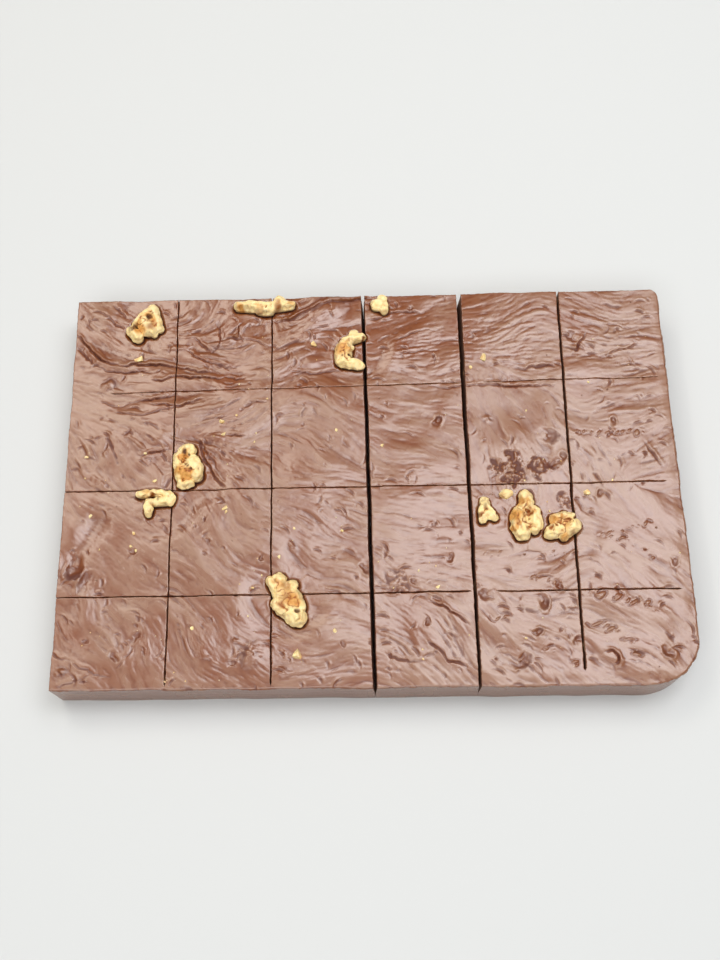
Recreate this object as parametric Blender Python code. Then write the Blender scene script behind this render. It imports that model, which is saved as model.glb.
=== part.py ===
"""Walnut chocolate fudge: one cast slab cut into six columns and four rows, with walnut pieces on its top.

X runs to the right along the six columns, Y to the back across the four rows, and Z up from the underside.
The front and right sides were cast against a tray and flare out to the bottom. The left and rear are cuts.
Sizes below are in millimetres, and MM turns them into Blender's metres.
"""

import math

import bmesh
import bpy
import numpy as np
from mathutils import Matrix, Vector

MM = 0.001

# The cast slab
THICKNESS = 19.0
TRAY_FLARE = 1.0
FRONT_RIGHT_RADIUS = 18.0
BACK_RIGHT_RADIUS = 3.0

# Each upright line of the cutting, left to right: x at the back edge and at the front edge, and the gap
# at each of them
COLUMN_LINES = [
    (-109.4, -111.5, 0.0, 0.0),
    (-71.6, -72.0, 0.6, 0.6),
    (-36.2, -35.9, 0.7, 0.7),
    (-2.1, -0.5, 1.3, 1.5),
    (33.9, 35.3, 1.7, 1.0),
    (70.8, 71.0, 0.8, 0.8),
    (108.1, 110.8, 0.0, 0.0),
]
# Each cross line, back to front: y at the left edge, y at the right edge, and its gap
ROW_LINES = [
    (74.5, 73.7, 0.0),
    (36.9, 38.6, 0.4),
    (-0.6, -1.7, 0.4),
    (-39.2, -40.5, 0.4),
    (-71.4, -73.5, 0.0),
]
LEFT_X, RIGHT_X = -110.0, 110.0
BACK_Y, FRONT_Y = 74.0, -72.5

# The top as it set: long swells, as (direction in degrees, wavelength, height, phase)
SWELLS = [(20.0, 71.0, 0.22, 0.4), (105.0, 47.0, 0.16, 2.1), (152.0, 33.0, 0.12, 4.0)]
# Folds in the skin, as (from, to, rise, half width); a negative rise is a valley
FOLDS = [
    ((-106.0, 57.0), (-49.0, 43.0), -0.5, 3.0),
    ((-94.0, 33.0), (-59.0, 38.0), -0.4, 3.0),
    ((-44.0, 63.0), (-3.0, 71.0), 0.5, 3.5),
    ((-108.0, -29.0), (-98.0, -12.0), -0.7, 4.0),
    ((-104.0, -49.0), (-84.0, -62.0), 0.5, 5.0),
    ((47.0, 4.0), (62.0, 10.0), -0.8, 5.0),
    ((78.0, -43.0), (100.0, -50.0), 0.4, 4.0),
    ((-24.0, -47.0), (-6.0, -58.0), 0.3, 6.0),
    ((40.0, -50.0), (64.0, -56.0), 0.3, 5.0),
]
RIM_DROP, RIM_WIDTH = 0.5, 4.0
TOP_CELLS = 9

# Walnut pieces, each by where it lies and its ridges, as (from, to, radius at the start, radius at the end)
WALNUTS = {
    "walnut_kite": ((-82.8, 63.4), [
        ((2.0, 6.5), (4.5, -1.0), 1.9, 1.6),
        ((1.5, 6.0), (-4.5, 1.0), 1.7, 1.4),
        ((-5.5, -2.0), (-3.5, -4.5), 2.1, 2.0),
        ((-0.5, 1.0), (0.5, -0.5), 3.4, 3.4),
        ((2.5, -3.0), (2.5, -2.5), 1.4, 1.4),
    ]),
    "walnut_strip": ((-37.0, 70.5), [
        ((-11.5, 0.0), (-0.5, -0.5), 1.9, 1.8),
        ((-0.5, -0.5), (8.0, 0.0), 2.0, 1.5),
        ((3.5, 2.0), (4.0, 1.0), 1.7, 1.7),
        ((-4.0, -2.0), (0.0, -2.0), 1.3, 1.7),
    ]),
    "walnut_chip": ((4.3, 69.6), [
        ((0.5, 2.0), (1.5, -2.0), 1.6, 1.5),
        ((-1.5, 0.0), (-0.5, 0.0), 1.9, 1.9),
    ]),
    "walnut_hook": ((-6.7, 52.7), [
        ((-2.0, 2.5), (4.5, 4.0), 1.8, 1.0),
        ((1.0, 5.5), (0.5, 4.0), 1.1, 1.3),
        ((-2.5, -1.0), (-3.0, -4.0), 3.4, 2.7),
        ((-3.5, -5.5), (3.5, -7.5), 2.3, 1.2),
    ]),
    "walnut_half": ((-66.4, 6.7), [
        ((-1.0, 6.5), (1.0, 7.0), 2.3, 2.0),
        ((-3.0, 4.0), (-2.0, -3.5), 2.2, 2.0),
        ((2.0, 2.0), (3.5, -2.5), 3.1, 2.3),
        ((-2.0, -6.0), (2.0, -5.5), 1.3, 0.9),
        ((-0.5, -1.5), (-0.5, -0.5), 3.1, 3.1),
    ]),
    "walnut_branch": ((-76.7, -4.5), [
        ((-6.0, 2.0), (-1.0, 2.5), 1.3, 1.2),
        ((-1.0, 2.5), (4.0, 1.5), 1.2, 1.2),
        ((5.0, 1.0), (4.5, -1.0), 1.3, 1.0),
        ((-3.0, -1.0), (4.0, -1.0), 1.5, 1.2),
        ((-3.0, -1.0), (-3.0, -5.0), 1.5, 1.2),
    ]),
    "walnut_lobed": ((-30.5, -40.6), [
        ((-2.5, 5.5), (-2.0, 3.0), 2.5, 2.7),
        ((-5.5, 5.5), (-4.5, 3.0), 1.5, 1.5),
        ((1.5, 4.0), (2.5, 4.0), 1.6, 1.6),
        ((-1.5, 1.0), (2.5, -1.0), 3.2, 3.2),
        ((-3.0, -2.5), (-1.0, -4.5), 2.3, 3.0),
        ((4.0, -1.5), (5.0, -4.0), 1.7, 1.7),
        ((2.5, -6.0), (4.0, -8.0), 3.8, 2.8),
    ]),
    "walnut_sliver": ((40.2, -11.5), [
        ((-0.5, 3.5), (0.0, 1.5), 1.4, 1.5),
        ((0.0, 0.5), (2.5, -2.0), 1.7, 1.5),
        ((-1.5, 0.5), (-1.5, -3.0), 1.4, 1.4),
    ]),
    "walnut_pear": ((54.3, -15.2), [
        ((0.0, 8.5), (0.0, 5.5), 2.3, 2.7),
        ((-2.5, 2.0), (-3.0, -2.0), 3.0, 3.0),
        ((-2.0, -4.5), (-1.5, -3.5), 2.7, 2.7),
        ((2.5, 3.0), (3.0, -1.5), 2.2, 2.2),
        ((2.0, -1.5), (2.5, -3.5), 2.0, 1.6),
    ]),
    "walnut_fan": ((66.8, -17.5), [
        ((-3.0, 2.5), (2.5, 3.0), 1.7, 1.6),
        ((0.5, 4.0), (0.0, 2.5), 1.2, 1.5),
        ((-4.5, -2.5), (-1.5, -1.0), 2.2, 2.8),
        ((1.5, -1.5), (4.0, 0.0), 3.1, 2.0),
        ((0.0, -4.0), (0.0, -2.5), 1.5, 1.8),
    ]),
}
NEST_LEVEL = -0.4
NEST_REACH = 11.0
NEST_BLEND = 6.0
WALNUT_GAP = 0.35
RIDGE_RISE = 1.2
RIDGE_HEIGHT = 0.7
RIDGE_CREST = 1.6

# Crumbs of walnut set in the top, as (x, y, radius)
WALNUT_BITS = [
    (-85.2, 50.6, 1.8),
    (-20.9, 55.0, 1.2),
    (47.4, -5.0, 2.4),
    (76.1, -5.2, 1.5),
    (-26.8, -60.8, 2.1),
    (41.9, 47.6, 1.4),
    (-54.2, 24.8, 1.0),
    (-52.5, -8.0, 1.0),
]
BIT_SINK = 0.25
BIT_SQUASH = 0.75
BIT_SEED = 7


def clear_scene():
    for obj in list(bpy.data.objects):
        bpy.data.objects.remove(obj)


def make_material(name, color, roughness):
    material = bpy.data.materials.new(name)
    material.use_nodes = True
    shader = material.node_tree.nodes["Principled BSDF"]
    shader.inputs["Base Color"].default_value = (*color, 1.0)
    shader.inputs["Roughness"].default_value = roughness
    shader.inputs["Metallic"].default_value = 0.0
    return material


def smooth_step(t):
    t = min(max(t, 0.0), 1.0)
    return t * t * (3.0 - 2.0 * t)


def distance_to_segment(point, start, end):
    along = end - start
    t = (point - start).dot(along) / along.length_squared
    return (point - start - along * min(max(t, 0.0), 1.0)).length


def column_x(line, y):
    """The x of an upright cutting line at y, and half the gap there."""
    x_back, x_front, gap_back, gap_front = COLUMN_LINES[line]
    t = (BACK_Y - y) / (BACK_Y - FRONT_Y)
    return x_back + (x_front - x_back) * t, (gap_back + (gap_front - gap_back) * t) / 2


def row_y(line, x):
    """The y of a cross cutting line at x, and half its gap."""
    y_left, y_right, gap = ROW_LINES[line]
    t = (x - LEFT_X) / (RIGHT_X - LEFT_X)
    return y_left + (y_right - y_left) * t, gap / 2


def round_corner(point, center, radius, side_x, side_y):
    """Draws the square corner beyond center onto an arc of that radius."""
    out = Vector(((point.x - center.x) * side_x, (point.y - center.y) * side_y))
    if out.x <= 0 or out.y <= 0:
        return point
    out *= max(out) / out.length
    return center + Vector((out.x * side_x, out.y * side_y))


def plan_point(column, row, u, v, flare):
    """The plan position of a point of a square: u runs left to right, v front to back, both from 0 to 1."""
    right_edge = column == len(COLUMN_LINES) - 2
    front_edge = row == len(ROW_LINES) - 2
    x = y = 0.0
    for _ in range(4):
        left, left_gap = column_x(column, y)
        right, right_gap = column_x(column + 1, y)
        right += flare if right_edge else -right_gap
        x = left + left_gap + (right - left - left_gap) * u
        back, back_gap = row_y(row, x)
        front, front_gap = row_y(row + 1, x)
        front += -flare if front_edge else front_gap
        y = front + (back - back_gap - front) * v
    point = Vector((x, y))
    if right_edge and front_edge:
        radius = FRONT_RIGHT_RADIUS + flare
        edge_x = column_x(column + 1, FRONT_Y)[0] + flare
        edge_y = row_y(row + 1, RIGHT_X)[0] - flare
        center = Vector((edge_x - radius, edge_y + radius))
        point = round_corner(point, center, radius, 1, -1)
    if right_edge and row == 0:
        radius = BACK_RIGHT_RADIUS
        edge_x = column_x(column + 1, BACK_Y)[0] + flare
        edge_y = row_y(row, RIGHT_X)[0]
        center = Vector((edge_x - radius, edge_y - radius))
        point = round_corner(point, center, radius, 1, 1)
    return point


def relief(point):
    """How far the cast top rises above its mean level: swells, folds, and a rim that droops at the tray."""
    height = 0.0
    for degrees, wavelength, rise, phase in SWELLS:
        direction = Vector((math.cos(math.radians(degrees)), math.sin(math.radians(degrees))))
        height += rise * math.sin(point.dot(direction) / wavelength * math.tau + phase)
    for start, end, rise, half_width in FOLDS:
        away = distance_to_segment(point, Vector(start), Vector(end))
        height += rise * math.exp(-((away / half_width) ** 2))
    to_rim = min(RIGHT_X - point.x, point.y - FRONT_Y)
    return height - RIM_DROP * (1.0 - smooth_step(to_rim / RIM_WIDTH))


def top_height(point):
    """The height of the top, pressed level under each walnut piece."""
    height = relief(point)
    for place, _ in WALNUTS.values():
        away = (point - Vector(place)).length
        pressed = 1.0 - smooth_step((away - NEST_REACH) / NEST_BLEND)
        height += (NEST_LEVEL - height) * pressed
    return THICKNESS + height


def square_mesh(column, row):
    """One cut square: a grid for its top, extruded down to a flat underside."""
    bm = bmesh.new()
    bmesh.ops.create_grid(bm, x_segments=TOP_CELLS, y_segments=TOP_CELLS, size=0.5)
    extruded = bmesh.ops.extrude_face_region(bm, geom=bm.faces[:])["geom"]
    top = {item for item in extruded if isinstance(item, bmesh.types.BMVert)}
    for vert in bm.verts:
        flare = 0.0 if vert in top else TRAY_FLARE
        point = plan_point(column, row, vert.co.x + 0.5, vert.co.y + 0.5, flare)
        height = top_height(point) if vert in top else 0.0
        vert.co = Vector((point.x, point.y, height)) * MM
    underside = [face for face in bm.faces if not any(vert in top for vert in face.verts)]
    bmesh.ops.dissolve_faces(bm, faces=underside)
    bmesh.ops.recalc_face_normals(bm, faces=bm.faces)
    mesh = bpy.data.meshes.new(f"square_{row + 1}_{column + 1}")
    bm.to_mesh(mesh)
    bm.free()
    return mesh


def add_object(name, mesh, material, parent):
    mesh.materials.clear()
    mesh.materials.append(material)
    mesh.shade_smooth()
    mesh.set_sharp_from_angle(angle=math.radians(35))
    obj = bpy.data.objects.new(name, mesh)
    obj.parent = parent
    bpy.context.scene.collection.objects.link(obj)
    return obj


def union(obj, meshes):
    """Joins the meshes into obj with one Boolean on a collection, and removes the collection's objects."""
    tools = bpy.data.collections.new(f"{obj.name}_pieces")
    bpy.context.scene.collection.children.link(tools)
    for mesh in meshes:
        tools.objects.link(bpy.data.objects.new(mesh.name, mesh))
    join = obj.modifiers.new("join", "BOOLEAN")
    join.operation = "UNION"
    join.operand_type = "COLLECTION"
    join.collection = tools
    join.solver = "EXACT"
    joined = bpy.data.meshes.new_from_object(obj.evaluated_get(bpy.context.evaluated_depsgraph_get()))
    obj.modifiers.remove(join)
    old, obj.data = obj.data, joined
    joined.name = obj.name
    bpy.data.meshes.remove(old)
    for tool in list(tools.objects):
        bpy.data.objects.remove(tool)
    bpy.data.collections.remove(tools)


def bit_mesh(index, x, y, radius, rng):
    """A broken crumb of walnut, sunk a little into the top."""
    bm = bmesh.new()
    bmesh.ops.create_icosphere(bm, subdivisions=1, radius=radius)
    for vert in bm.verts:
        vert.co *= rng.uniform(0.8, 1.15)
    height = top_height(Vector((x, y))) + radius * BIT_SINK
    place = Matrix.Translation(Vector((x, y, height)) * MM)
    bm.transform(place @ Matrix.Diagonal((MM, MM, MM * BIT_SQUASH, 1.0)))
    mesh = bpy.data.meshes.new(f"bit_{index}")
    bm.to_mesh(mesh)
    bm.free()
    return mesh


def ridge_mesh(name, place, start, end, start_radius, end_radius):
    """One ridge of a walnut kernel: a ball drawn out from start to end."""
    start, end = Vector(start), Vector(end)
    along = end - start
    bm = bmesh.new()
    bmesh.ops.create_icosphere(bm, subdivisions=2, radius=1.0)
    forward = along.normalized()
    for vert in bm.verts:
        t = smooth_step(0.5 + 0.8 * vert.co.xy.dot(forward))
        radius = start_radius + (end_radius - start_radius) * t
        plan = Vector(place) + start + along * t + vert.co.xy * radius
        crest = THICKNESS + NEST_LEVEL + RIDGE_RISE + vert.co.z * (radius * RIDGE_HEIGHT + RIDGE_CREST)
        vert.co = Vector((plan.x, plan.y, crest)) * MM
    mesh = bpy.data.meshes.new(name)
    bm.to_mesh(mesh)
    bm.free()
    return mesh


def level_underside(mesh, height):
    """Cuts a mesh off flat at a height, and closes it."""
    bm = bmesh.new()
    bm.from_mesh(mesh)
    geometry = bm.verts[:] + bm.edges[:] + bm.faces[:]
    level = Vector((0.0, 0.0, height * MM))
    cut = bmesh.ops.bisect_plane(bm, geom=geometry, plane_co=level, plane_no=(0, 0, -1), clear_outer=True)
    rim = [item for item in cut["geom_cut"] if isinstance(item, bmesh.types.BMEdge)]
    bmesh.ops.holes_fill(bm, edges=rim)
    bmesh.ops.remove_doubles(bm, verts=bm.verts, dist=0.02 * MM)
    bmesh.ops.recalc_face_normals(bm, faces=bm.faces)
    bm.to_mesh(mesh)
    bm.free()


def make_squares(fudge, parent):
    """The twenty-four squares, with the small crumbs of walnut fused on."""
    rng = np.random.default_rng(BIT_SEED)
    bits = [(x, y, bit_mesh(index, x, y, radius, rng)) for index, (x, y, radius) in enumerate(WALNUT_BITS)]
    for row in range(len(ROW_LINES) - 1):
        for column in range(len(COLUMN_LINES) - 1):
            obj = add_object(f"square_{row + 1}_{column + 1}", square_mesh(column, row), fudge, parent)
            mine = [
                mesh
                for x, y, mesh in bits
                if column_x(column, y)[0] < x < column_x(column + 1, y)[0]
                and row_y(row + 1, x)[0] < y < row_y(row, x)[0]
            ]
            if mine:
                union(obj, mine)


def make_walnuts(kernel, parent):
    """The walnut pieces, each one fused from its ridges and level underneath."""
    for name, (place, ridges) in WALNUTS.items():
        meshes = [ridge_mesh(f"{name}_{index}", place, *ridge) for index, ridge in enumerate(ridges)]
        obj = add_object(name, meshes[0], kernel, parent)
        union(obj, meshes[1:])
        level_underside(obj.data, THICKNESS + NEST_LEVEL + WALNUT_GAP)


def main():
    clear_scene()
    slab = bpy.data.objects.new("slab", None)
    bpy.context.scene.collection.objects.link(slab)
    fudge = make_material("milk_chocolate_fudge", (0.205, 0.088, 0.058), 0.45)
    kernel = make_material("walnut_kernel", (0.72, 0.50, 0.24), 0.6)
    make_squares(fudge, slab)
    make_walnuts(kernel, slab)


main()
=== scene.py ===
"""The looks of a cut slab of chocolate walnut fudge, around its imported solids.

The slab's rippled skin is worked out once, as a relief over its whole top, and each square then takes its
own patch of it. Sizes below are in millimetres, as in the solids, and MM turns them into Blender's metres.
X runs to the right along the six columns of squares, Y to the back across the four rows, and Z up from the
slab's underside.
"""

import math

import bmesh
import bpy
import numpy as np
from mathutils import Matrix, Vector


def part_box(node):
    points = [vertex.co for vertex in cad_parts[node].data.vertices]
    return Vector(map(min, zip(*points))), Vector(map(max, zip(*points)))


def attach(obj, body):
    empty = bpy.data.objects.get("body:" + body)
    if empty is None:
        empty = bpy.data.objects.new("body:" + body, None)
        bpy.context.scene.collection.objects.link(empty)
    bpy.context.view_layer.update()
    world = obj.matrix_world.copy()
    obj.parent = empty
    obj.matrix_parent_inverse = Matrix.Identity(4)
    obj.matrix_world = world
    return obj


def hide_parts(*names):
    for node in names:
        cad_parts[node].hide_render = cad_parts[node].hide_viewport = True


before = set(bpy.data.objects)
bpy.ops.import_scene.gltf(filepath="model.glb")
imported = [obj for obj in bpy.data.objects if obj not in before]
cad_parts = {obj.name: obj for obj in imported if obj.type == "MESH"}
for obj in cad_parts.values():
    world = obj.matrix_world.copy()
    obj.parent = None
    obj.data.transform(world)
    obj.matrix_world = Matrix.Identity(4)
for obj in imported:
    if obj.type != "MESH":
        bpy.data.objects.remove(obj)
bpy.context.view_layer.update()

MM = 0.001

# The cast slab, as in its solids
THICKNESS = 19.0
TRAY_FLARE = 1.0
FRONT_RIGHT_RADIUS = 18.0
BACK_RIGHT_RADIUS = 3.0

# Upright cuts, left to right: x at the back, x at the front, gap there and there, and how far the cut stops
# short of the front
COLUMN_LINES = [
    (-109.4, -111.5, 0.0, 0.0, 0.0),
    (-71.6, -72.0, 0.35, 0.45, 1.5),
    (-36.2, -35.9, 0.4, 0.5, 1.0),
    (-2.1, -0.5, 1.3, 1.5, 0.0),
    (33.9, 35.3, 1.7, 1.0, 0.0),
    (70.8, 71.0, 0.8, 0.8, 4.0),
    (108.1, 110.8, 0.0, 0.0, 0.0),
]
# Cross cuts, back to front: y at the left, y at the right, gap, and the stretches in x where the cut is shut
ROW_LINES = [
    (74.5, 73.7, 0.0, []),
    (36.9, 38.6, 0.16, [(-112.0, -96.0), (36.0, 41.0), (106.0, 114.0)]),
    (-0.6, -1.7, 0.26, [(105.0, 114.0)]),
    (-39.2, -40.5, 0.34, [(34.0, 42.0), (106.5, 114.0)]),
    (-71.4, -73.5, 0.0, []),
]
LAST_COLUMN, LAST_ROW = len(COLUMN_LINES) - 2, len(ROW_LINES) - 2
LEFT_X, RIGHT_X = -110.0, 110.0
BACK_Y, FRONT_Y = 74.0, -72.5
# How fast a cut opens beyond a shut stretch, how far the knife strayed from its line, and over what length
SHUT_BLEND = 1.5
KNIFE_WANDER, WANDER_LENGTH = 0.18, 7.0

# The top as it set, as in the solids: swells as (direction in degrees, wavelength, height, phase)
SWELLS = [(20.0, 71.0, 0.22, 0.4), (105.0, 47.0, 0.16, 2.1), (152.0, 33.0, 0.12, 4.0)]
# Folds as (from, to, rise, half width)
FOLDS = [
    ((-106.0, 57.0), (-49.0, 43.0), -0.5, 3.0),
    ((-94.0, 33.0), (-59.0, 38.0), -0.4, 3.0),
    ((-44.0, 63.0), (-3.0, 71.0), 0.5, 3.5),
    ((-108.0, -29.0), (-98.0, -12.0), -0.7, 4.0),
    ((-104.0, -49.0), (-84.0, -62.0), 0.5, 5.0),
    ((47.0, 4.0), (62.0, 10.0), -0.8, 5.0),
    ((78.0, -43.0), (100.0, -50.0), 0.4, 4.0),
    ((-24.0, -47.0), (-6.0, -58.0), 0.3, 6.0),
    ((40.0, -50.0), (64.0, -56.0), 0.3, 5.0),
]
# How far the skin droops along the tray's sides, and how far in
RIM_DROP, RIM_WIDTH = 0.25, 4.0

# Where each walnut piece lies, and the radius that it covers
WALNUTS = {
    "walnut_kite": (-82.8, 63.4, 7.0),
    "walnut_strip": (-37.0, 70.5, 8.0),
    "walnut_chip": (4.3, 69.6, 3.0),
    "walnut_hook": (-6.7, 52.7, 6.5),
    "walnut_half": (-66.4, 6.7, 6.5),
    "walnut_branch": (-76.7, -4.5, 6.0),
    "walnut_lobed": (-30.5, -40.6, 8.0),
    "walnut_sliver": (40.2, -11.5, 4.0),
    "walnut_pear": (54.3, -15.2, 8.0),
    "walnut_fan": (66.8, -17.5, 6.5),
}
# Under each piece the top is pressed to this level, over this reach
NEST_LEVEL, NEST_REACH, NEST_BLEND = -0.4, 11.0, 6.0

# The relief is worked out on a grid over the top
GRID_STEP = 0.25
GRID_X = np.arange(-114.0, 114.1, GRID_STEP)
GRID_Y = np.arange(-77.0, 77.1, GRID_STEP)
X, Y = np.meshgrid(GRID_X, GRID_Y)

# How the skin was drawn as it set: (x, y, direction in degrees), each one ruling round its place
FLOWS = [
    (-100, 66, -38), (-98, 45, -20), (-80, 47, -5), (-60, 50, -20), (-52, 62, 55), (-40, 50, 10),
    (-30, 62, 18), (-15, 66, 14), (10, 60, 12), (20, 48, 6), (45, 60, 4), (60, 50, 0),
    (85, 60, -12), (100, 45, 8), (90, 48, 25), (-100, 25, -62), (-85, 12, -60), (-90, 30, -30),
    (-60, 28, 8), (-45, 26, 12), (-50, 8, -50), (-20, 20, -30), (20, 25, -10), (45, 30, -55),
    (55, 18, -70), (85, 25, -5), (95, 10, 40), (80, 5, -55), (-100, -15, -50), (-85, -30, -35),
    (-60, -20, -55), (-45, -30, -40), (-20, -20, -20), (20, -25, -15), (50, -30, -25), (60, -38, 15),
    (90, -20, -40), (100, -35, -50), (-95, -50, -55), (-85, -62, -45), (-60, -55, -60), (-45, -60, -45),
    (-20, -60, -10), (10, -50, -35), (25, -60, -48), (45, -55, -40), (60, -62, -30), (85, -52, -30),
    (100, -62, -55),
]
FLOW_REACH = 9.0
# How it swerves at random: (size in mm, turn)
SWERVES = [(14.0, 0.9), (5.0, 0.35)]
# How far beyond a walnut piece the skin is still drawn towards it
DRAWN_IN = 5.0

# How strongly the skin is rippled: (x, y, reach, broad swell, ridges, fine lines), on top of EVEN everywhere
RIPPLED = [
    (-60, 52, 15, 0.5, 1.6, 0.6),
    (-92, 52, 13, 0.1, 0.4, 0.5),
    (-25, 62, 13, 0.2, 1, 1),
    (18, 55, 15, -0.3, 0.4, 0.8),
    (52, 56, 15, -0.5, 0.2, 1.5),
    (90, 56, 15, -0.2, 0.7, 1.2),
    (-90, 16, 16, 0, 1.5, 0),
    (-55, 12, 14, 0, 1.1, 0.5),
    (50, 6, 8, 0.8, 0.8, 1),
    (52, 22, 12, 0.7, 0, -0.5),
    (90, 18, 14, 0.1, 0.6, 0.3),
    (92, -15, 14, -0.4, -0.4, -0.3),
    (92, -58, 14, 0.4, 0.5, 0),
    (52, -56, 14, 0.5, 0.4, 0),
    (18, -54, 14, 0.4, 0.4, 0),
    (-60, -56, 16, 0, 0.5, 0),
    (-90, -22, 16, -0.2, -0.3, 0),
]
EVEN = (1.0, 0.35, 0.8)
# Random layers drawn out along the flow: (seed, size across it, reach along it)
LAYERS = {
    "broad": (11, 6.0, 8.0),
    "middle": (12, 1.8, 3.5),
    "fine": (13, 0.7, 1.2),
    "ridges": (14, 1.6, 6.0),
    "grooves": (17, 1.1, 4.0),
    "streaks": (15, 2.6, 4.0),
}
BROAD_RIPPLE, MIDDLE_RIPPLE, FINE_RIPPLE = 0.16, 0.03, 0.02
# Lone ridges and grooves stand where their layers pass a level
RIDGE, GROOVE = 0.19, 0.13
RIDGE_LEVEL, GROOVE_LEVEL, HIGHEST = 1.1, 1.3, 1.5
# The lone grooves carry painted shade
GROOVE_SHADE = 0.3

# Creases where the skin lapped over itself: depth, half width, lip beside it, and its course
CREASES = [
    (0.42, 0.45, 0.30, [(-110, 61), (-105, 56), (-98, 49), (-92, 48), (-78, 48), (-68, 46), (-58, 44)]),
    (0.30, 0.40, -0.20, [(-110, 56), (-103, 50), (-97, 46), (-88, 45), (-80, 45)]),
    (0.38, 0.40, 0.22, [(-81, 41), (-72, 43), (-57, 42), (-46, 42)]),
    (0.30, 0.40, 0.20, [(-100, 35), (-94, 32), (-88, 33), (-80, 35), (-70, 36)]),
    (0.35, 0.50, 0.22, [(-106, 71), (-100, 69), (-96, 66), (-91, 62)]),
    (0.30, 0.40, 0.15, [(-97, 73), (-93, 70), (-90, 67)]),
    (0.40, 0.45, 0.28, [(-54, 58), (-49, 58), (-43, 57), (-37, 55)]),
    (0.25, 0.35, 0.15, [(-68, 54), (-64, 50), (-58, 49), (-52, 46), (-46, 47)]),
    (0.28, 0.35, 0.18, [(-66, 60), (-63, 55), (-57, 54)]),
    (0.25, 0.35, -0.15, [(-58, 66), (-55, 60), (-56, 54), (-60, 50)]),
    (0.22, 0.35, 0.12, [(-47, 66), (-49, 61), (-47, 56)]),
    (0.30, 0.40, 0.22, [(-94, 30), (-88, 28), (-81, 29), (-73, 31), (-60, 34)]),
    (0.28, 0.35, 0.15, [(-82, 33), (-73, 32), (-63, 32), (-58, 34)]),
    (0.20, 0.35, 0.12, [(-47, 32), (-42, 32), (-37, 32)]),
    (0.20, 0.35, 0.10, [(-63, 26), (-57, 26), (-51, 27)]),
    (0.22, 0.40, 0.15, [(-85, 13), (-81, 13), (-76, 15), (-72, 15)]),
    (0.18, 0.35, 0.12, [(-84, 11), (-79, 11), (-74, 13)]),
    (0.34, 0.60, 0.20, [(-63, 19), (-61, 13), (-58, 6), (-52, -1)]),
    (0.22, 0.50, 0.12, [(-66, 20), (-62, 17), (-58, 12), (-55, 5)]),
    (0.22, 0.40, 0.12, [(-53, 19), (-48, 20), (-45, 19)]),
    (0.15, 0.50, 0.55, [(-49, 60), (-43, 64), (-36, 64), (-29, 65), (-27, 67), (-17, 71), (-6, 73), (2, 73)]),
    (0.20, 0.35, 0.15, [(-1, 64), (3, 65), (10, 67), (20, 67)]),
    (0.15, 0.35, 0.12, [(-30, 45), (-22, 43), (-12, 44)]),
    (0.12, 0.30, 0.10, [(8, 56), (18, 59), (28, 60)]),
    (0.14, 0.30, 0.12, [(10, 50), (20, 51), (30, 53)]),
    (0.22, 0.40, 0.18, [(22, 36.5), (37, 36.5), (48, 37), (62, 36), (70, 36.5)]),
    (0.25, 0.50, 0.15, [(73, 52), (76, 49), (79, 54), (81, 58)]),
    (0.15, 0.30, 0.12, [(82, 62), (90, 60), (98, 58)]),
    (0.15, 0.30, 0.10, [(84, 47), (92, 49), (101, 52)]),
    (0.22, 0.40, 0.15, [(78, 3), (81, 0), (83, -4)]),
    (0.18, 0.40, 0.12, [(97, 14), (102, 8), (104, 3)]),
    (0.25, 0.60, 0.15, [(55, 42), (62, 44), (69, 43)]),
    (0.30, 0.60, 0.20, [(-112, -58), (-105, -62), (-97, -66), (-90, -67)]),
    (0.22, 0.50, 0.15, [(-110, -70), (-104, -69), (-97, -66)]),
    (0.25, 0.60, 0.15, [(17, -57), (22, -60), (25, -64), (32, -66)]),
    (0.25, 0.60, 0.15, [(42, -61), (49, -65), (54, -67)]),
    (0.22, 0.50, 0.15, [(18, -43), (26, -47), (33, -52)]),
    (0.20, 0.50, 0.15, [(3, -60), (8, -64), (18, -64)]),
    (0.30, 0.50, 0.25, [(77, -62), (82, -62), (83, -66), (80, -66)]),
    (0.24, 0.45, 0.16, [(56, -36), (61, -35), (64, -38)]),
    (0.18, 0.40, 0.10, [(74, -28), (80, -33), (84, -38)]),
]
CREASE_REACH = 5.0
# How a crease wavers: (size, by how much)
CREASE_WAVERS = [(3.5, 0.7), (1.3, 0.35)]
# How far its depth and its lip are drawn out, how tight it is, and how dark and narrow the painted shade at
# its bottom
CREASE_CUT, CREASE_RISE, CREASE_TIGHT = 2.6, 1.4, 0.52
CREASE_SHADE, SHADE_TIGHT = 4.4, 0.5
LIP_PLACE, LIP_WIDTH = 0.85, 0.6
# It comes and goes over this length, and fades out over this length at its ends
CREASE_BREAKS, CREASE_END = 7.0, 4.0

# Strings of small lens-shaped marks, where bubbles were dragged along: half width, and its course
BUBBLE_STRINGS = [
    (0.8, [(78, -42), (86, -44), (93, -45), (98, -50)]),
    (0.9, [(74, -52), (81, -54), (88, -60), (90, -65)]),
    (0.55, [(78, -21), (86, -21), (94, -26), (98, -31)]),
    (0.55, [(73, 18), (79, 18), (90, 17), (100, 17)]),
    (0.6, [(86, -19), (92, -18), (97, -17)]),
    (0.5, [(38, -26), (42, -28), (46, -27)]),
    (0.5, [(41, -49), (44, -49), (47, -49)]),
    (0.5, [(62, -26), (66, -27), (69, -27)]),
    (0.5, [(53, -35), (57, -36), (62, -38), (67, -37)]),
    (0.5, [(56, -60), (60, -62), (62, -60)]),
    (0.5, [(67, -64), (70, -67)]),
]
BUBBLE_SPACING = 2.6
# Each mark rises in a sunken ring, slightly darkened with painted shade, this many times as wide
LENS_RISE, RING_DEPTH, RING_SHADE = 0.30, 0.26, 0.06
RING_PLACE, RING_WIDTH = 1.4, 0.08

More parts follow.
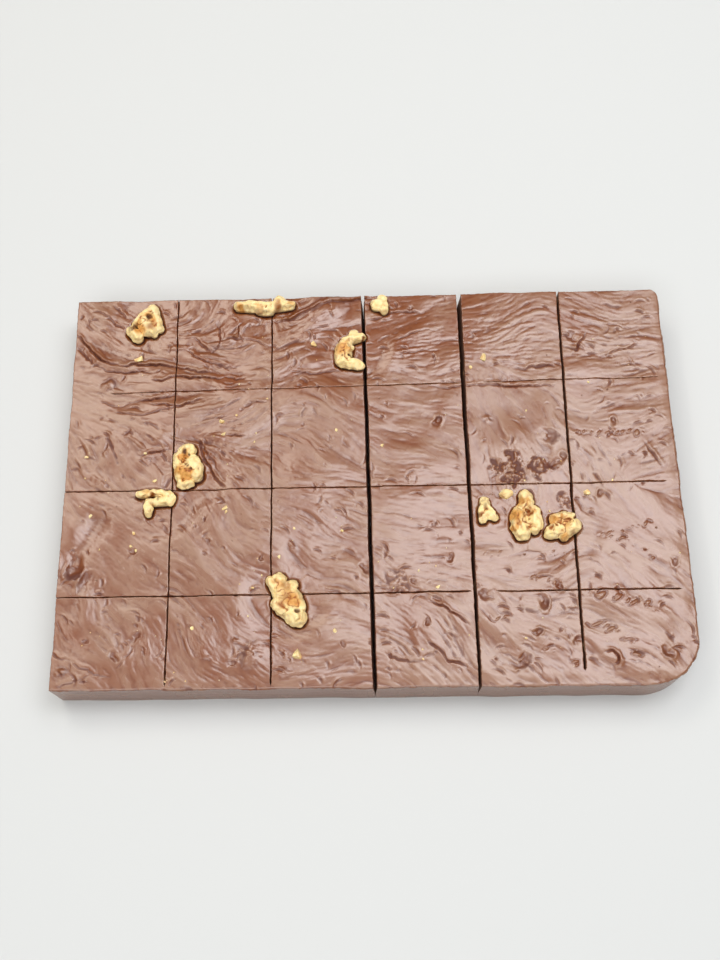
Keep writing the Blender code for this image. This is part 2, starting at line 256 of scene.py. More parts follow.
# Round marks: (x, y, radius, depth, rim), where a negative depth is a blister
DIMPLES = [
    (99.2, -62.2, 2.0, 0.35, 0.22), (58.4, -44.2, 2.3, 0.4, 0.25), (55.3, -55.0, 1.6, 0.35, 0.15),
    (39.1, -41.3, 2.6, 0.25, 0.10), (104.7, -30.2, 1.8, 0.2, 0.12), (49.2, -64.6, 3.0, 0.35, 0.12),
    (-105.2, -28.4, 3.6, 0.55, 0.30), (-100.8, -34.2, 3.2, 0.30, 0.15), (-85.2, -23.0, 1.4, 0.25, 0.1),
    (-99.7, -54.8, 1.1, 0.22, 0.08), (-89.5, -60.2, 1.8, 0.25, 0.1), (-47.8, -55.8, 1.2, -0.25, 0.0),
    (-39.3, -26.6, 1.2, 0.25, 0.1), (-28.4, -23.0, 1.6, -0.25, 0.0), (-3.1, -30.6, 1.9, 0.3, 0.15),
    (-83.1, -53.6, 1.8, 0.2, 0.08), (-49.6, -63.4, 1.5, 0.22, 0.1), (-41.8, -60.4, 4.2, -0.35, 0.0),
    (-11.1, -57.4, 1.0, 0.2, 0.08), (6.5, -38.9, 1.8, 0.35, 0.2), (14.2, -36.3, 1.4, 0.2, 0.1),
    (24.0, 22.8, 1.9, 0.4, 0.2), (15.6, 68.6, 1.2, 0.3, 0.1), (-96.7, 40.4, 2.2, -0.35, -0.12),
    (87.6, 21.2, 1.4, 0.25, 0.15), (18.2, -50.4, 1.2, 0.25, 0.1), (26.7, -28.0, 1.5, 0.25, 0.12),
    (21.6, -43.2, 1.8, 0.25, 0.15), (63.5, 16.8, 3.2, 0.35, 0.1), (63.9, 6.6, 2.8, 0.4, 0.15),
    (42.2, 23.8, 1.3, -0.2, 0.0), (69.2, -57.8, 1.6, 0.25, 0.1), (84.2, -40.6, 1.2, 0.25, 0.12),
    (68.3, 8.0, 1.8, 0.3, 0.15), (64.0, -38.5, 1.5, 0.3, 0.2), (75.5, 55.0, 2.4, 0.3, 0.0),
    (-108.2, -65.0, 1.6, -0.3, 0.0), (-32.7, -67.4, 2.4, -0.2, 0.0), (81.0, -5.5, 1.4, 0.25, 0.1),
]
# How much each is pressed, rimmed and darkened at its rim with painted shade, and how far out of round it is
PRESS, RIM_RISE, RIM_SHADE = 1.3, 1.5, 2.0
OVAL, THREE_SIDED, UNEVEN = 0.26, 0.10, 0.15
# Pebbled patches, where the skin tore open over crumbly fudge: (x, y, reach, strength)
PEBBLED = [(49.5, 4.5, 5.5, 0.70), (60.0, 4.0, 4.5, 0.45), (8.5, -35.5, 4.5, 0.22), (68.0, -7.0, 3.0, 0.25)]
PEBBLE_SIZE = (0.35, 1.1)
PEBBLE_COUNT = 3.0
# How high the pebbles stand, and how deep the torn patch lies round them
PEBBLE_RISE, PEBBLE_SINK = 1.3, 0.7
# Small slanted nicks all over the skin: how many, half length, half width, depth, and the mean and spread of
# their slant in degrees
FLECKS = 480
FLECK_LENGTH, FLECK_WIDTH, FLECK_DEPTH = (0.5, 1.9), (0.28, 0.6), (0.08, 0.40)
FLECK_SLANT = (-40.0, 45.0)
# How high the lip of each nick stands, and how much painted shade lies in its dent
FLECK_LIP, FLECK_SHADE = 0.8, 1.1
# Hollows of the skin are darkened with painted shade, both directly and by thinning the pale film there: how
# far round, how deep, how much painted shade, how much thinner the film, and the hollowness at which the film
# is left as it is
HOLLOW_REACH, HOLLOW_DEPTH = 1.5, 0.07
HOLLOW_SHADE, HOLLOW_FILM_SHADE, HOLLOW_MEAN = 0.44, 0.6, 0.2

# The pale film of fat and sugar from 0 to 1, which also carries painted sheen: how thick at the left,
# and how painted sheen thickens it to the right
FILM_LEFT, SHEEN_GAIN = 0.34, 0.29
GAIN_START, GAIN_RUN = -20.0, 110.0
# Its patches and their size, its streaks, partly painted sheen, and the painted highlights it puts on ripples
# and ridges
FILM_PATCHES, PATCH_SIZE = 0.33, 13.0
FILM_AND_SHEEN_STREAKS, RIPPLE_HIGHLIGHTS, RIDGE_HIGHLIGHTS = 0.16, 0.08, 0.12
# A stretch at the back with less painted sheen, so darker: x, y, reach in x, reach in y, and how much less
LESS_SHEEN_BACK = (2.0, 58.0, 42.0, 22.0, 0.42)
# How much painted sheen it adds along the tray's sides, and how far in
RIM_SHEEN, RIM_SHEEN_WIDTH = 0.3, 7.0


def smooth_step(t):
    t = np.clip(t, 0.0, 1.0)
    return t * t * (3.0 - 2.0 * t)


def noise(x, y, size, seed):
    """Random hills about that size in mm, from -1 to 1."""
    table = np.random.default_rng(seed).uniform(-1.0, 1.0, (256, 256))
    x, y = np.asarray(x) / size, np.asarray(y) / size
    column, row = np.floor(x).astype(int), np.floor(y).astype(int)
    a, b = smooth_step(x - column), smooth_step(y - row)
    low = table[row % 256, column % 256] * (1 - a) + table[row % 256, (column + 1) % 256] * a
    high = table[(row + 1) % 256, column % 256] * (1 - a) + table[(row + 1) % 256, (column + 1) % 256] * a
    return low * (1 - b) + high * b


def sample(grid, x, y):
    """The grid's value at places between its points."""
    column = np.clip((x - GRID_X[0]) / GRID_STEP, 0, len(GRID_X) - 1.001)
    row = np.clip((y - GRID_Y[0]) / GRID_STEP, 0, len(GRID_Y) - 1.001)
    i, j = column.astype(int), row.astype(int)
    a, b = column - i, row - j
    low = grid[j, i] * (1 - a) + grid[j, i + 1] * a
    high = grid[j + 1, i] * (1 - a) + grid[j + 1, i + 1] * a
    return low * (1 - b) + high * b


def flow_field():
    """The way the skin is drawn: the cosine and sine of twice its angle, so that it has no head or tail."""
    cosine, sine = np.zeros_like(X), np.zeros_like(X)
    for x, y, degrees in FLOWS:
        weight = np.exp(-((X - x) ** 2 + (Y - y) ** 2) / (2 * FLOW_REACH**2)) + 1e-9
        cosine += weight * math.cos(math.radians(2 * degrees))
        sine += weight * math.sin(math.radians(2 * degrees))
    angle = np.arctan2(sine, cosine)
    for seed, (size, turn) in enumerate(SWERVES, 5):
        angle += turn * noise(X, Y, size, seed)
    cosine, sine = np.cos(angle), np.sin(angle)
    for x, y, reach in WALNUTS.values():
        away = np.hypot(X - x, Y - y)
        radial = 2 * np.arctan2(Y - y, X - x)
        weight = 1.0 - smooth_step((away - reach) / DRAWN_IN)
        cosine = cosine * (1 - weight) + np.cos(radial) * weight
        sine = sine * (1 - weight) + np.sin(radial) * weight
    return cosine, sine


def drag(field, length, flow):
    """The field smeared along the skin's flow, that many mm each way, with its spread brought to 1."""
    steps = max(3, int(length / (2 * GRID_STEP)))
    total = field.copy()
    for sign in (1.0, -1.0):
        half = np.arctan2(flow[1], flow[0]) / 2
        dx, dy = sign * np.cos(half), sign * np.sin(half)
        px, py = X.copy(), Y.copy()
        for _ in range(steps):
            px += dx * 2 * GRID_STEP
            py += dy * 2 * GRID_STEP
            half = np.arctan2(sample(flow[1], px, py), sample(flow[0], px, py)) / 2
            nx, ny = np.cos(half), np.sin(half)
            turn = np.where(nx * dx + ny * dy < 0, -1.0, 1.0)
            dx, dy = nx * turn, ny * turn
            total += sample(field, px, py)
    total -= total.mean()
    return total / total.std()


def softened(points):
    """A course with its corners cut twice, so that it bends gently."""
    points = np.array(points, float)
    for _ in range(2):
        first, last = points[:-1], points[1:]
        cut = np.stack([first * 0.75 + last * 0.25, first * 0.25 + last * 0.75], 1).reshape(-1, 2)
        points = np.vstack([points[:1], cut, points[-1:]])
    return points


def window(low, high):
    """The part of the grid between two corners, as a pair of slices."""
    columns = np.searchsorted(GRID_X, [low[0], high[0]])
    rows = np.searchsorted(GRID_Y, [low[1], high[1]])
    return slice(*rows), slice(*columns)


def course_distance(points, reach):
    """Signed distance from a course and how far along it, in a window that holds all within reach of it."""
    points = softened(points)
    part = window(points.min(0) - reach, points.max(0) + reach)
    x, y = X[part], Y[part]
    nearest = np.full_like(x, 1e9)
    signed, travel = np.full_like(x, 1e9), np.zeros_like(x)
    passed = 0.0
    for start, end in zip(points[:-1], points[1:]):
        along = end - start
        length = math.hypot(*along)
        t = np.clip(((x - start[0]) * along[0] + (y - start[1]) * along[1]) / length**2, 0, 1)
        dx, dy = x - start[0] - along[0] * t, y - start[1] - along[1] * t
        away = np.hypot(dx, dy)
        side = np.where(along[0] * dy - along[1] * dx >= 0, 1.0, -1.0)
        closer = away < nearest
        nearest = np.where(closer, away, nearest)
        signed = np.where(closer, away * side, signed)
        travel = np.where(closer, passed + t * length, travel)
        passed += length
    return part, signed, travel, passed


def crease_relief(relief, shade):
    """Cuts each crease into the relief, with the lip of its lap beside it, and paints shade along its bottom.
    """
    wander = sum(much * noise(X, Y, size, seed) for seed, (size, much) in enumerate(CREASE_WAVERS, 31))
    for index, (depth, half_width, lip, points) in enumerate(CREASES):
        part, signed, travel, length = course_distance(points, CREASE_REACH)
        signed = signed + wander[part]
        ends = smooth_step(travel / CREASE_END) * smooth_step((length - travel) / CREASE_END)
        broken = 0.65 + 0.6 * noise(travel, signed * 0.2, CREASE_BREAKS, 40 + index)
        strength = ends * np.clip(broken, 0.1, 1.2)
        groove = np.exp(-((signed / (half_width * CREASE_TIGHT)) ** 2))
        bottom = np.exp(-((signed / (half_width * SHADE_TIGHT)) ** 2))
        lap = np.exp(-(((signed - LIP_PLACE) / LIP_WIDTH) ** 2))
        relief[part] += strength * (CREASE_RISE * lip * lap - CREASE_CUT * depth * groove)
        # Painted shade along the crease's bottom
        shade[part] += strength * bottom * depth * CREASE_SHADE


def bubble_relief(relief, shade):
    """Presses in the strings of small lens marks."""
    for index, (half_width, points) in enumerate(BUBBLE_STRINGS):
        rng = np.random.default_rng(60 + index)
        part, signed, travel, length = course_distance(points, CREASE_REACH)
        signed = signed + rng.uniform(-0.3, 0.3)
        count = max(2, int(length / BUBBLE_SPACING))
        for place in (np.arange(count) + 0.5) * length / count:
            place += rng.uniform(-0.9, 0.9)
            shift, wide = rng.uniform(-0.8, 0.8), half_width * rng.uniform(0.5, 1.9)
            tall = wide * rng.uniform(0.4, 0.75)
            slant = rng.uniform(0.1, 1.1)
            lens = ((travel - place - slant * signed) / tall) ** 2 + ((signed - shift) / wide) ** 2
            ring = np.exp(-((np.sqrt(lens) - RING_PLACE) ** 2) / RING_WIDTH)
            relief[part] += LENS_RISE * np.exp(-lens * 0.8) - RING_DEPTH * ring
            # Painted shade in the sunken ring
            shade[part] += RING_SHADE * ring


def dimple_relief(relief, shade):
    """Presses in the round marks, each a little out of round."""
    for index, (x, y, radius, depth, rim) in enumerate(DIMPLES):
        rng = np.random.default_rng(90 + index)
        reach = radius * 3
        part = window((x - reach, y - reach), (x + reach, y + reach))
        dx, dy = X[part] - x, Y[part] - y
        angle = np.arctan2(dy, dx)
        lean = rng.uniform(0, math.tau)
        outline = 1 + OVAL * np.cos(2 * (angle - lean)) + THREE_SIDED * np.cos(3 * (angle + lean))
        t = np.hypot(dx, dy) / (radius * outline) + UNEVEN * noise(X[part], Y[part], 1.1, 34)
        facing = 0.5 + 0.5 * np.cos(angle - rng.uniform(0, math.tau))
        relief[part] -= PRESS * depth * np.exp(-((t / 0.85) ** 3)) * (0.5 + facing)
        relief[part] += RIM_RISE * rim * np.exp(-(((t - 1.15) / 0.3) ** 2)) * facing
        # Painted shade along the dimple's rim, on its facing side
        shade[part] += RIM_SHADE * abs(depth) * np.exp(-(((t - 0.95) / 0.2) ** 2)) * facing**2


def pebble_relief(relief, shade):
    """Tears the skin open in the pebbled patches, with crumbs of the fudge standing in them and painted shade
    between them.
    """
    for index, (x, y, reach, strength) in enumerate(PEBBLED):
        rng = np.random.default_rng(700 + index)
        part = window((x - reach * 2, y - reach * 2), (x + reach * 2, y + reach * 2))
        away = np.hypot(X[part] - x, Y[part] - y) / reach
        away += 0.6 * noise(X[part] + 0.5 * Y[part], Y[part], 2.6, 71)
        edge = 1.0 - smooth_step((away - 0.6) / 0.5)
        lumps = np.zeros_like(away)
        for _ in range(int(reach * reach * PEBBLE_COUNT)):
            px, py = x + rng.normal(0, reach * 0.7), y + rng.normal(0, reach * 0.7)
            radius = rng.uniform(*PEBBLE_SIZE)
            lump = 1.0 - ((X[part] - px) ** 2 + (Y[part] - py) ** 2) / radius**2
            lumps = np.maximum(lumps, radius * np.sqrt(np.maximum(lump, 0.0)))
        relief[part] += edge * strength * (lumps * PEBBLE_RISE - PEBBLE_SINK)
        # Painted shade in the gaps between the pebbles
        shade[part] += edge * min(1.0, strength * 2.0) * np.clip(0.85 - lumps * 2.2, 0.0, 1.0)


def fleck_relief(relief, shade):
    """Nicks the skin all over with small slanted marks, each a dent with a lip on one side and painted shade
    in the dent.
    """
    rng = np.random.default_rng(750)
    for _ in range(FLECKS):
        x, y = rng.uniform(LEFT_X, RIGHT_X), rng.uniform(FRONT_Y, BACK_Y)
        long, wide = rng.uniform(*FLECK_LENGTH), rng.uniform(*FLECK_WIDTH)
        angle = math.radians(rng.normal(*FLECK_SLANT))
        depth = rng.uniform(*FLECK_DEPTH)
        part = window((x - 5.0, y - 5.0), (x + 5.0, y + 5.0))
        dx, dy = X[part] - x, Y[part] - y
        along = dx * math.cos(angle) + dy * math.sin(angle)
        across = -dx * math.sin(angle) + dy * math.cos(angle) + 0.25 * along**2 / long
        body = np.exp(-((along / long) ** 2))
        lip, dent = np.exp(-(((across - wide) / wide) ** 2)), np.exp(-((across / wide) ** 2))
        relief[part] += depth * body * (FLECK_LIP * lip - dent)
        # Painted shade in the nick's dent
        shade[part] += FLECK_SHADE * depth * body * np.exp(-((across / (wide * 0.8)) ** 2))


def base_relief():
    """The solids' swells and folds, with the skin drooping at the tray, pressed level under the walnuts."""
    height = np.zeros_like(X)
    for degrees, wavelength, rise, phase in SWELLS:
        run = X * math.cos(math.radians(degrees)) + Y * math.sin(math.radians(degrees))
        height += rise * np.sin(run / wavelength * math.tau + phase)
    for start, end, rise, half_width in FOLDS:
        along = np.subtract(end, start)
        t = np.clip(((X - start[0]) * along[0] + (Y - start[1]) * along[1]) / (along @ along), 0, 1)
        away = np.hypot(X - start[0] - along[0] * t, Y - start[1] - along[1] * t)
        height += rise * np.exp(-((away / half_width) ** 2))
    to_rim = np.minimum(RIGHT_X - X, Y - FRONT_Y)
    height -= RIM_DROP * (1.0 - smooth_step(to_rim / RIM_WIDTH))
    for x, y, _ in WALNUTS.values():
        pressed = 1.0 - smooth_step((np.hypot(X - x, Y - y) - NEST_REACH) / NEST_BLEND)
        height += (NEST_LEVEL - height) * pressed
    return height


def level_round(height, reach):
    """The mean height in a square of that reach round each place of the grid."""
    cells = int(reach / GRID_STEP)
    for axis in (0, 1):
        wide = np.pad(height, [(cells + 1, cells) if axis == side else (0, 0) for side in (0, 1)], "edge")
        run = np.cumsum(wide, axis)
        count = height.shape[axis]
        far, near = (run.take(range(start, start + count), axis) for start in (2 * cells + 1, 0))
        height = (far - near) / (2 * cells + 1)
    return height


def top_maps():
    """The relief of the whole top in mm, its painted shade in creases, marks and hollows, and how thick its
    pale film, with painted sheen, lies.
    """
    flow = flow_field()
    layers = {
        name: drag(noise(X, Y, size, seed), reach, flow) for name, (seed, size, reach) in LAYERS.items()
    }
    strength = np.stack([np.full_like(X, even) for even in EVEN])
    for x, y, reach, *more in RIPPLED:
        near = np.exp(-((X - x) ** 2 + (Y - y) ** 2) / reach**2)
        for layer, extra in enumerate(more):
            strength[layer] += near * extra
    strength = np.maximum(strength, 0.0)
    ridge = np.clip(layers["ridges"] - RIDGE_LEVEL, 0.0, HIGHEST)
    groove = np.clip(layers["grooves"] - GROOVE_LEVEL, 0.0, HIGHEST)
    patchy = np.clip(0.75 + 0.9 * noise(X, Y, 8.0, 18), 0.2, 1.5)
    relief = base_relief()
    relief += BROAD_RIPPLE * layers["broad"] * strength[0]
    relief += MIDDLE_RIPPLE * layers["middle"] * patchy * (0.55 + 0.45 * strength[1])
    relief += (RIDGE * ridge - GROOVE * groove) * strength[1]
    relief += FINE_RIPPLE * layers["fine"] * strength[2]
    # Painted shade in the lone grooves
    shade = GROOVE_SHADE * groove * strength[1]
    for marks in (crease_relief, bubble_relief, dimple_relief, pebble_relief, fleck_relief):
        marks(relief, shade)
    # Painted shade in the hollows of the relief
    hollow = np.clip((level_round(relief, HOLLOW_REACH) - relief) / HOLLOW_DEPTH, 0.0, 1.0)
    shade += HOLLOW_SHADE * hollow
    return relief, shade, film_and_sheen_map(layers, ridge, hollow)


def film_and_sheen_map(layers, ridge, hollow):
    """How thick the pale film lies over the whole top, its colour also carrying painted sheen, and painted
    shade in the hollows.
    """
    # Painted sheen, growing stronger to the right
    film = FILM_LEFT + SHEEN_GAIN * smooth_step((X - GAIN_START) / GAIN_RUN)
    film += FILM_PATCHES * noise(X, Y, PATCH_SIZE, 16)
    # Less painted sheen over the stretch at the back
    x, y, reach_x, reach_y, less = LESS_SHEEN_BACK
    film -= less * np.exp(-(((X - x) / reach_x) ** 2) - ((Y - y) / reach_y) ** 2)
    # Streaks of the film, partly painted sheen
    film += FILM_AND_SHEEN_STREAKS * layers["streaks"]
    # Painted highlights on the ripple crests and ridges
    film += RIPPLE_HIGHLIGHTS * layers["middle"] + RIDGE_HIGHLIGHTS * ridge
    # Painted sheen along the rims
    film += RIM_SHEEN * (1.0 - smooth_step(np.minimum(RIGHT_X - X, Y - FRONT_Y) / RIM_SHEEN_WIDTH))
    # More painted shade in the hollows, by thinning the pale film there
    film -= HOLLOW_FILM_SHADE * (hollow - HOLLOW_MEAN)
    return np.clip(film, 0.0, 1.0)


def stretch_open(place, stretches):
    """1 where a cut is open and 0 along the stretches where it is shut."""
    opened = np.ones_like(place)
    for start, end in stretches:
        outside = np.maximum(start - place, place - end)
        opened = np.minimum(opened, smooth_step(outside / SHUT_BLEND))
    return opened


def column_x(line, y):
    """The x of an upright cut at y, half the gap there, and how open it is."""
    x_back, x_front, gap_back, gap_front, short = COLUMN_LINES[line]
    t = (BACK_Y - y) / (BACK_Y - FRONT_Y)
    wander = KNIFE_WANDER * noise(y, np.full_like(y, line * 50.0), WANDER_LENGTH, 21)
    shut = [(FRONT_Y - 3.0, FRONT_Y + short)] if short else []
    opened = stretch_open(y, shut)
    gap = (gap_back + (gap_front - gap_back) * t) * opened
    return x_back + (x_front - x_back) * t + wander, gap / 2, opened


def row_y(line, x):
    """The y of a cross cut at x, half its gap, and how open it is."""
    y_left, y_right, gap, shut = ROW_LINES[line]
    t = (x - LEFT_X) / (RIGHT_X - LEFT_X)
    wander = KNIFE_WANDER * noise(x, np.full_like(x, line * 50.0), WANDER_LENGTH, 22)
    opened = stretch_open(x, shut)
    return y_left + (y_right - y_left) * t + wander, gap * opened / 2, opened


def round_corner(x, y, center, side_x, side_y):
    """Draws the square corner beyond center onto an arc."""
    out_x, out_y = (x - center[0]) * side_x, (y - center[1]) * side_y
    beyond = (out_x > 0) & (out_y > 0)
    length = np.where(beyond, np.hypot(out_x, out_y), 1.0)
    scale = np.maximum(out_x, out_y) / length
    x = np.where(beyond, center[0] + out_x * scale * side_x, x)
    y = np.where(beyond, center[1] + out_y * scale * side_y, y)
    return x, y


# The sides: edges left by the knife are crisp, those cast against the tray are soft and carry a ragged lip
KNIFE_EDGE, CAST_EDGE = 0.18, 0.4
CAST_LIP, LIP_DEPTH, LIP_HEIGHT = 0.4, 0.7, 0.5
# A cut narrows as it goes down, where the fudge closed behind the knife
CUT_TAPER, CUT_DEPTH = 0.9, 13.0
# A square's mesh: cells along its top, rows down the sides of inner and outer squares, how close its first
# lines lie to an edge in a square of nominal width, and how close its first rows lie to the top
TOP_CELLS = 128
INNER_ROWS, OUTER_ROWS = 12, 20
RIM_STEPS = [0.0, 0.12, 0.28, 0.5, 0.8, 1.15]
NOMINAL_WIDTH = 36.0
DEPTH_STEPS = [0.0, 0.14, 0.32, 0.55, 0.85, 1.3]


def set_in(depth, radius):
    """How far a rounded edge of that radius stands back, at a depth below the face beside it."""
    depth = np.maximum(depth, radius * (1 - math.sqrt(0.5)))
    return radius - np.sqrt(np.maximum(radius**2 - np.maximum(radius - depth, 0.0) ** 2, 0.0))


def cut_face(along, depth, seed):
    """How a face left by the knife stands back: drag marks, torn grains and small chips, in mm."""
    marks = 0.05 * noise(along, depth * 0.12, 0.8, seed) + 0.05 * noise(along, depth * 0.3, 3.0, seed + 1)
    grains = 0.05 * noise(along, depth, 0.7, seed + 2)
    chips = 0.14 * np.clip(noise(along, depth, 1.6, seed + 3) - 0.45, 0.0, 1.0)
    return np.clip(marks + grains + chips, -0.12, 0.3)


def cast_face(along, depth, seed):
    """How a face cast against the tray stands back: faint level waves, and the ragged lip at its top."""
    waves = 0.06 * noise(along * 0.15, depth, 1.6, seed) + 0.10 * noise(along, depth * 0.3, 9.0, seed + 1)
    ragged = 0.35 + 0.7 * noise(along, np.zeros_like(depth), 6.0, seed + 2)
    ragged += 0.6 * noise(along, depth, 1.3, seed + 3)
    lip = np.clip(ragged, 0, 1.2) * np.exp(-(((depth - LIP_DEPTH) / LIP_HEIGHT) ** 2))
    return waves - CAST_LIP * lip


def knife_face(along, depth, opened, gap, seed):
    """How far a knife-cut side stands back from the middle of its cut."""
    open_at = 1.0 - CUT_TAPER * smooth_step(depth / CUT_DEPTH)
    return gap * open_at + opened * (set_in(depth, KNIFE_EDGE) + cut_face(along, depth, seed))


def square_plan(column, row, u, v, depth, edge_x, edge_y):
    """The plan position of points of a square: u runs left to right and v front to back."""
    right_edge, front_edge = column == LAST_COLUMN, row == LAST_ROW
    cast = TRAY_FLARE * np.clip(depth / THICKNESS, 0.0, 1.0) - set_in(depth, CAST_EDGE)
    x, y = np.full_like(u, edge_x), np.full_like(u, edge_y)
    for _ in range(4):
        left, gap, opened = column_x(column, y)
        left += knife_face(y, depth, opened, gap, 200 + 10 * column)
        right, gap, opened = column_x(column + 1, y)
        if right_edge:
            right += cast - cast_face(y, depth, 300)
        else:
            right -= knife_face(y + 300.0, depth, opened, gap, 210 + 10 * column)
        x = left + (right - left) * u
        back, gap, opened = row_y(row, x)
        back -= knife_face(x, depth, opened, gap, 400 + 10 * row)
        front, gap, opened = row_y(row + 1, x)
        if front_edge:
            front -= cast - cast_face(x, depth, 310)
        else:
            front += knife_face(x + 300.0, depth, opened, gap, 410 + 10 * row)
        y = front + (back - front) * v
    at_back, at_front = COLUMN_LINES[-1][:2]
    if right_edge and front_edge:
        radius = FRONT_RIGHT_RADIUS
        x, y = round_corner(x, y, (at_front - radius, ROW_LINES[-1][1] + radius), 1, -1)
    if right_edge and row == 0:
        radius = BACK_RIGHT_RADIUS
        x, y = round_corner(x, y, (at_back - radius, ROW_LINES[0][1] - radius), 1, 1)
    return x, y


def block_mesh(rows):
    """A block of unit size: a grid for its top, its sides cut into that many rows, and one face beneath."""
    bm = bmesh.new()
    bmesh.ops.create_grid(bm, x_segments=TOP_CELLS, y_segments=TOP_CELLS, size=0.5)
    extruded = bmesh.ops.extrude_face_region(bm, geom=bm.faces[:])["geom"]
    top = [item for item in extruded if isinstance(item, bmesh.types.BMVert)]
    bmesh.ops.translate(bm, verts=top, vec=(0.0, 0.0, 1.0))
    upright = [edge for edge in bm.edges if abs(edge.verts[0].co.z - edge.verts[1].co.z) > 0.5]
    bmesh.ops.subdivide_edges(bm, edges=upright, cuts=rows - 1, use_grid_fill=True)
    underside = [face for face in bm.faces if all(vert.co.z < 1e-6 for vert in face.verts)]
    bmesh.ops.dissolve_faces(bm, faces=underside)
    bmesh.ops.recalc_face_normals(bm, faces=bm.faces)
    return mesh_from(bm, f"block_{rows}")


def mesh_from(bm, name):
    """A mesh of a bmesh, which is freed."""
    mesh = bpy.data.meshes.new(name)
    bm.to_mesh(mesh)
    bm.free()
    return mesh


def add_object(name, data):
    """An object of some data, in the scene."""
    made = bpy.data.objects.new(name, data)
    bpy.context.scene.collection.objects.link(made)
    return made


def points_of(mesh):
    flat = np.empty(len(mesh.vertices) * 3, np.float32)
    mesh.vertices.foreach_get("co", flat)
    return flat.reshape(-1, 3).astype(float)


def set_points(mesh, points):
    mesh.vertices.foreach_set("co", (points * MM).astype(np.float32).ravel())
    mesh.update()


def set_attribute(mesh, name, values):
    layer = mesh.attributes.new(name, "FLOAT", "POINT")
    layer.data.foreach_set("value", np.asarray(values, np.float32).ravel())


def square_piece(column, row, blocks, maps, material):
    """One square of the slab, with its patch of the skin and its cut or cast sides."""
    relief, shade, film = maps
    right_edge, front_edge = column == LAST_COLUMN, row == LAST_ROW
    rows = OUTER_ROWS if right_edge or front_edge or column == 0 or row == 0 else INNER_ROWS
    mesh = blocks[rows].copy()
    mesh.name = f"fudge_{row + 1}_{column + 1}"
    unit = points_of(mesh)
    count = len(RIM_STEPS) - 1
    places = RIM_STEPS + [NOMINAL_WIDTH - step for step in reversed(RIM_STEPS)]
    lines = [*range(count + 1), *range(TOP_CELLS - count, TOP_CELLS + 1)]
    u = np.interp((unit[:, 0] + 0.5) * TOP_CELLS, lines, places) / NOMINAL_WIDTH
    v = np.interp((unit[:, 1] + 0.5) * TOP_CELLS, lines, places) / NOMINAL_WIDTH
    depth = np.interp((1.0 - unit[:, 2]) * rows, [*range(len(DEPTH_STEPS)), rows], [*DEPTH_STEPS, THICKNESS])
    low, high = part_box(f"square_{row + 1}_{column + 1}")
    middle = (low + high) / 2 / MM
    x, y = square_plan(column, row, u, v, depth, middle.x, middle.y)
    size_x, size_y = (high - low).xy / MM
    drop = np.zeros_like(x)
    for away, radius in (
        (u * size_x, KNIFE_EDGE * column_x(column, y)[2]),
        ((1 - u) * size_x, CAST_EDGE if right_edge else KNIFE_EDGE * column_x(column + 1, y)[2]),
        (v * size_y, CAST_EDGE if front_edge else KNIFE_EDGE * row_y(row + 1, x)[2]),
        ((1 - v) * size_y, KNIFE_EDGE * row_y(row, x)[2]),
    ):
        drop = np.maximum(drop, set_in(away, radius))
    top = THICKNESS + sample(relief, x, y) - drop
    z = top * (1.0 - depth / THICKNESS)
    set_points(mesh, np.column_stack([x, y, z]))
    cast = (right_edge & (u > 0.999)) | (front_edge & (v < 0.001))
    set_attribute(mesh, "cut", smooth_step((depth - 0.3) / 0.5) * (1.0 - cast))
    set_attribute(mesh, "shade", sample(shade, x, y) * (depth < 0.5))
    side_film = 0.5 + 0.35 * noise(x + y, z, 5.0, 23)
    set_attribute(mesh, "film", np.where(depth < 0.4, sample(film, x, y), side_film))
    mesh.materials.append(material)
    mesh.shade_smooth()
    mesh.set_sharp_from_angle(angle=math.radians(60))
    finish_piece(mesh, "fudge", f"square_{row + 1}_{column + 1}")


def finish_piece(mesh, slot, *nodes):
    """Puts a mesh in the scene as a piece of the slab, in place of the nodes that it stands for."""
    piece = add_object(mesh.name, mesh)
    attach(piece, "root")
    if nodes:
        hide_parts(*nodes)


# Walnut kernels: the size of their mesh's cells, how far they run down into the fudge, and how many flat
# breaks each has
KERNEL_VOXEL = 0.26
KERNEL_ROOT = 1.2
KERNEL_BREAKS, BREAK_REACH = 10, (1.0, 2.2)
# Their notched rims and lumps as (size, height)
NOTCHES, LUMPS, SMALL_LUMPS = (1.5, 0.45), (1.0, 0.28), (0.55, 0.14)
# How far they are swollen all over, raised on broken flesh, and sunk in the veins, the core and the marks
SWOLLEN, FLESH_RISE = 0.25, 0.1
VEIN_DEPTH, CORE_DEPTH, MARK_DEPTH = 0.35, 0.25, 0.5
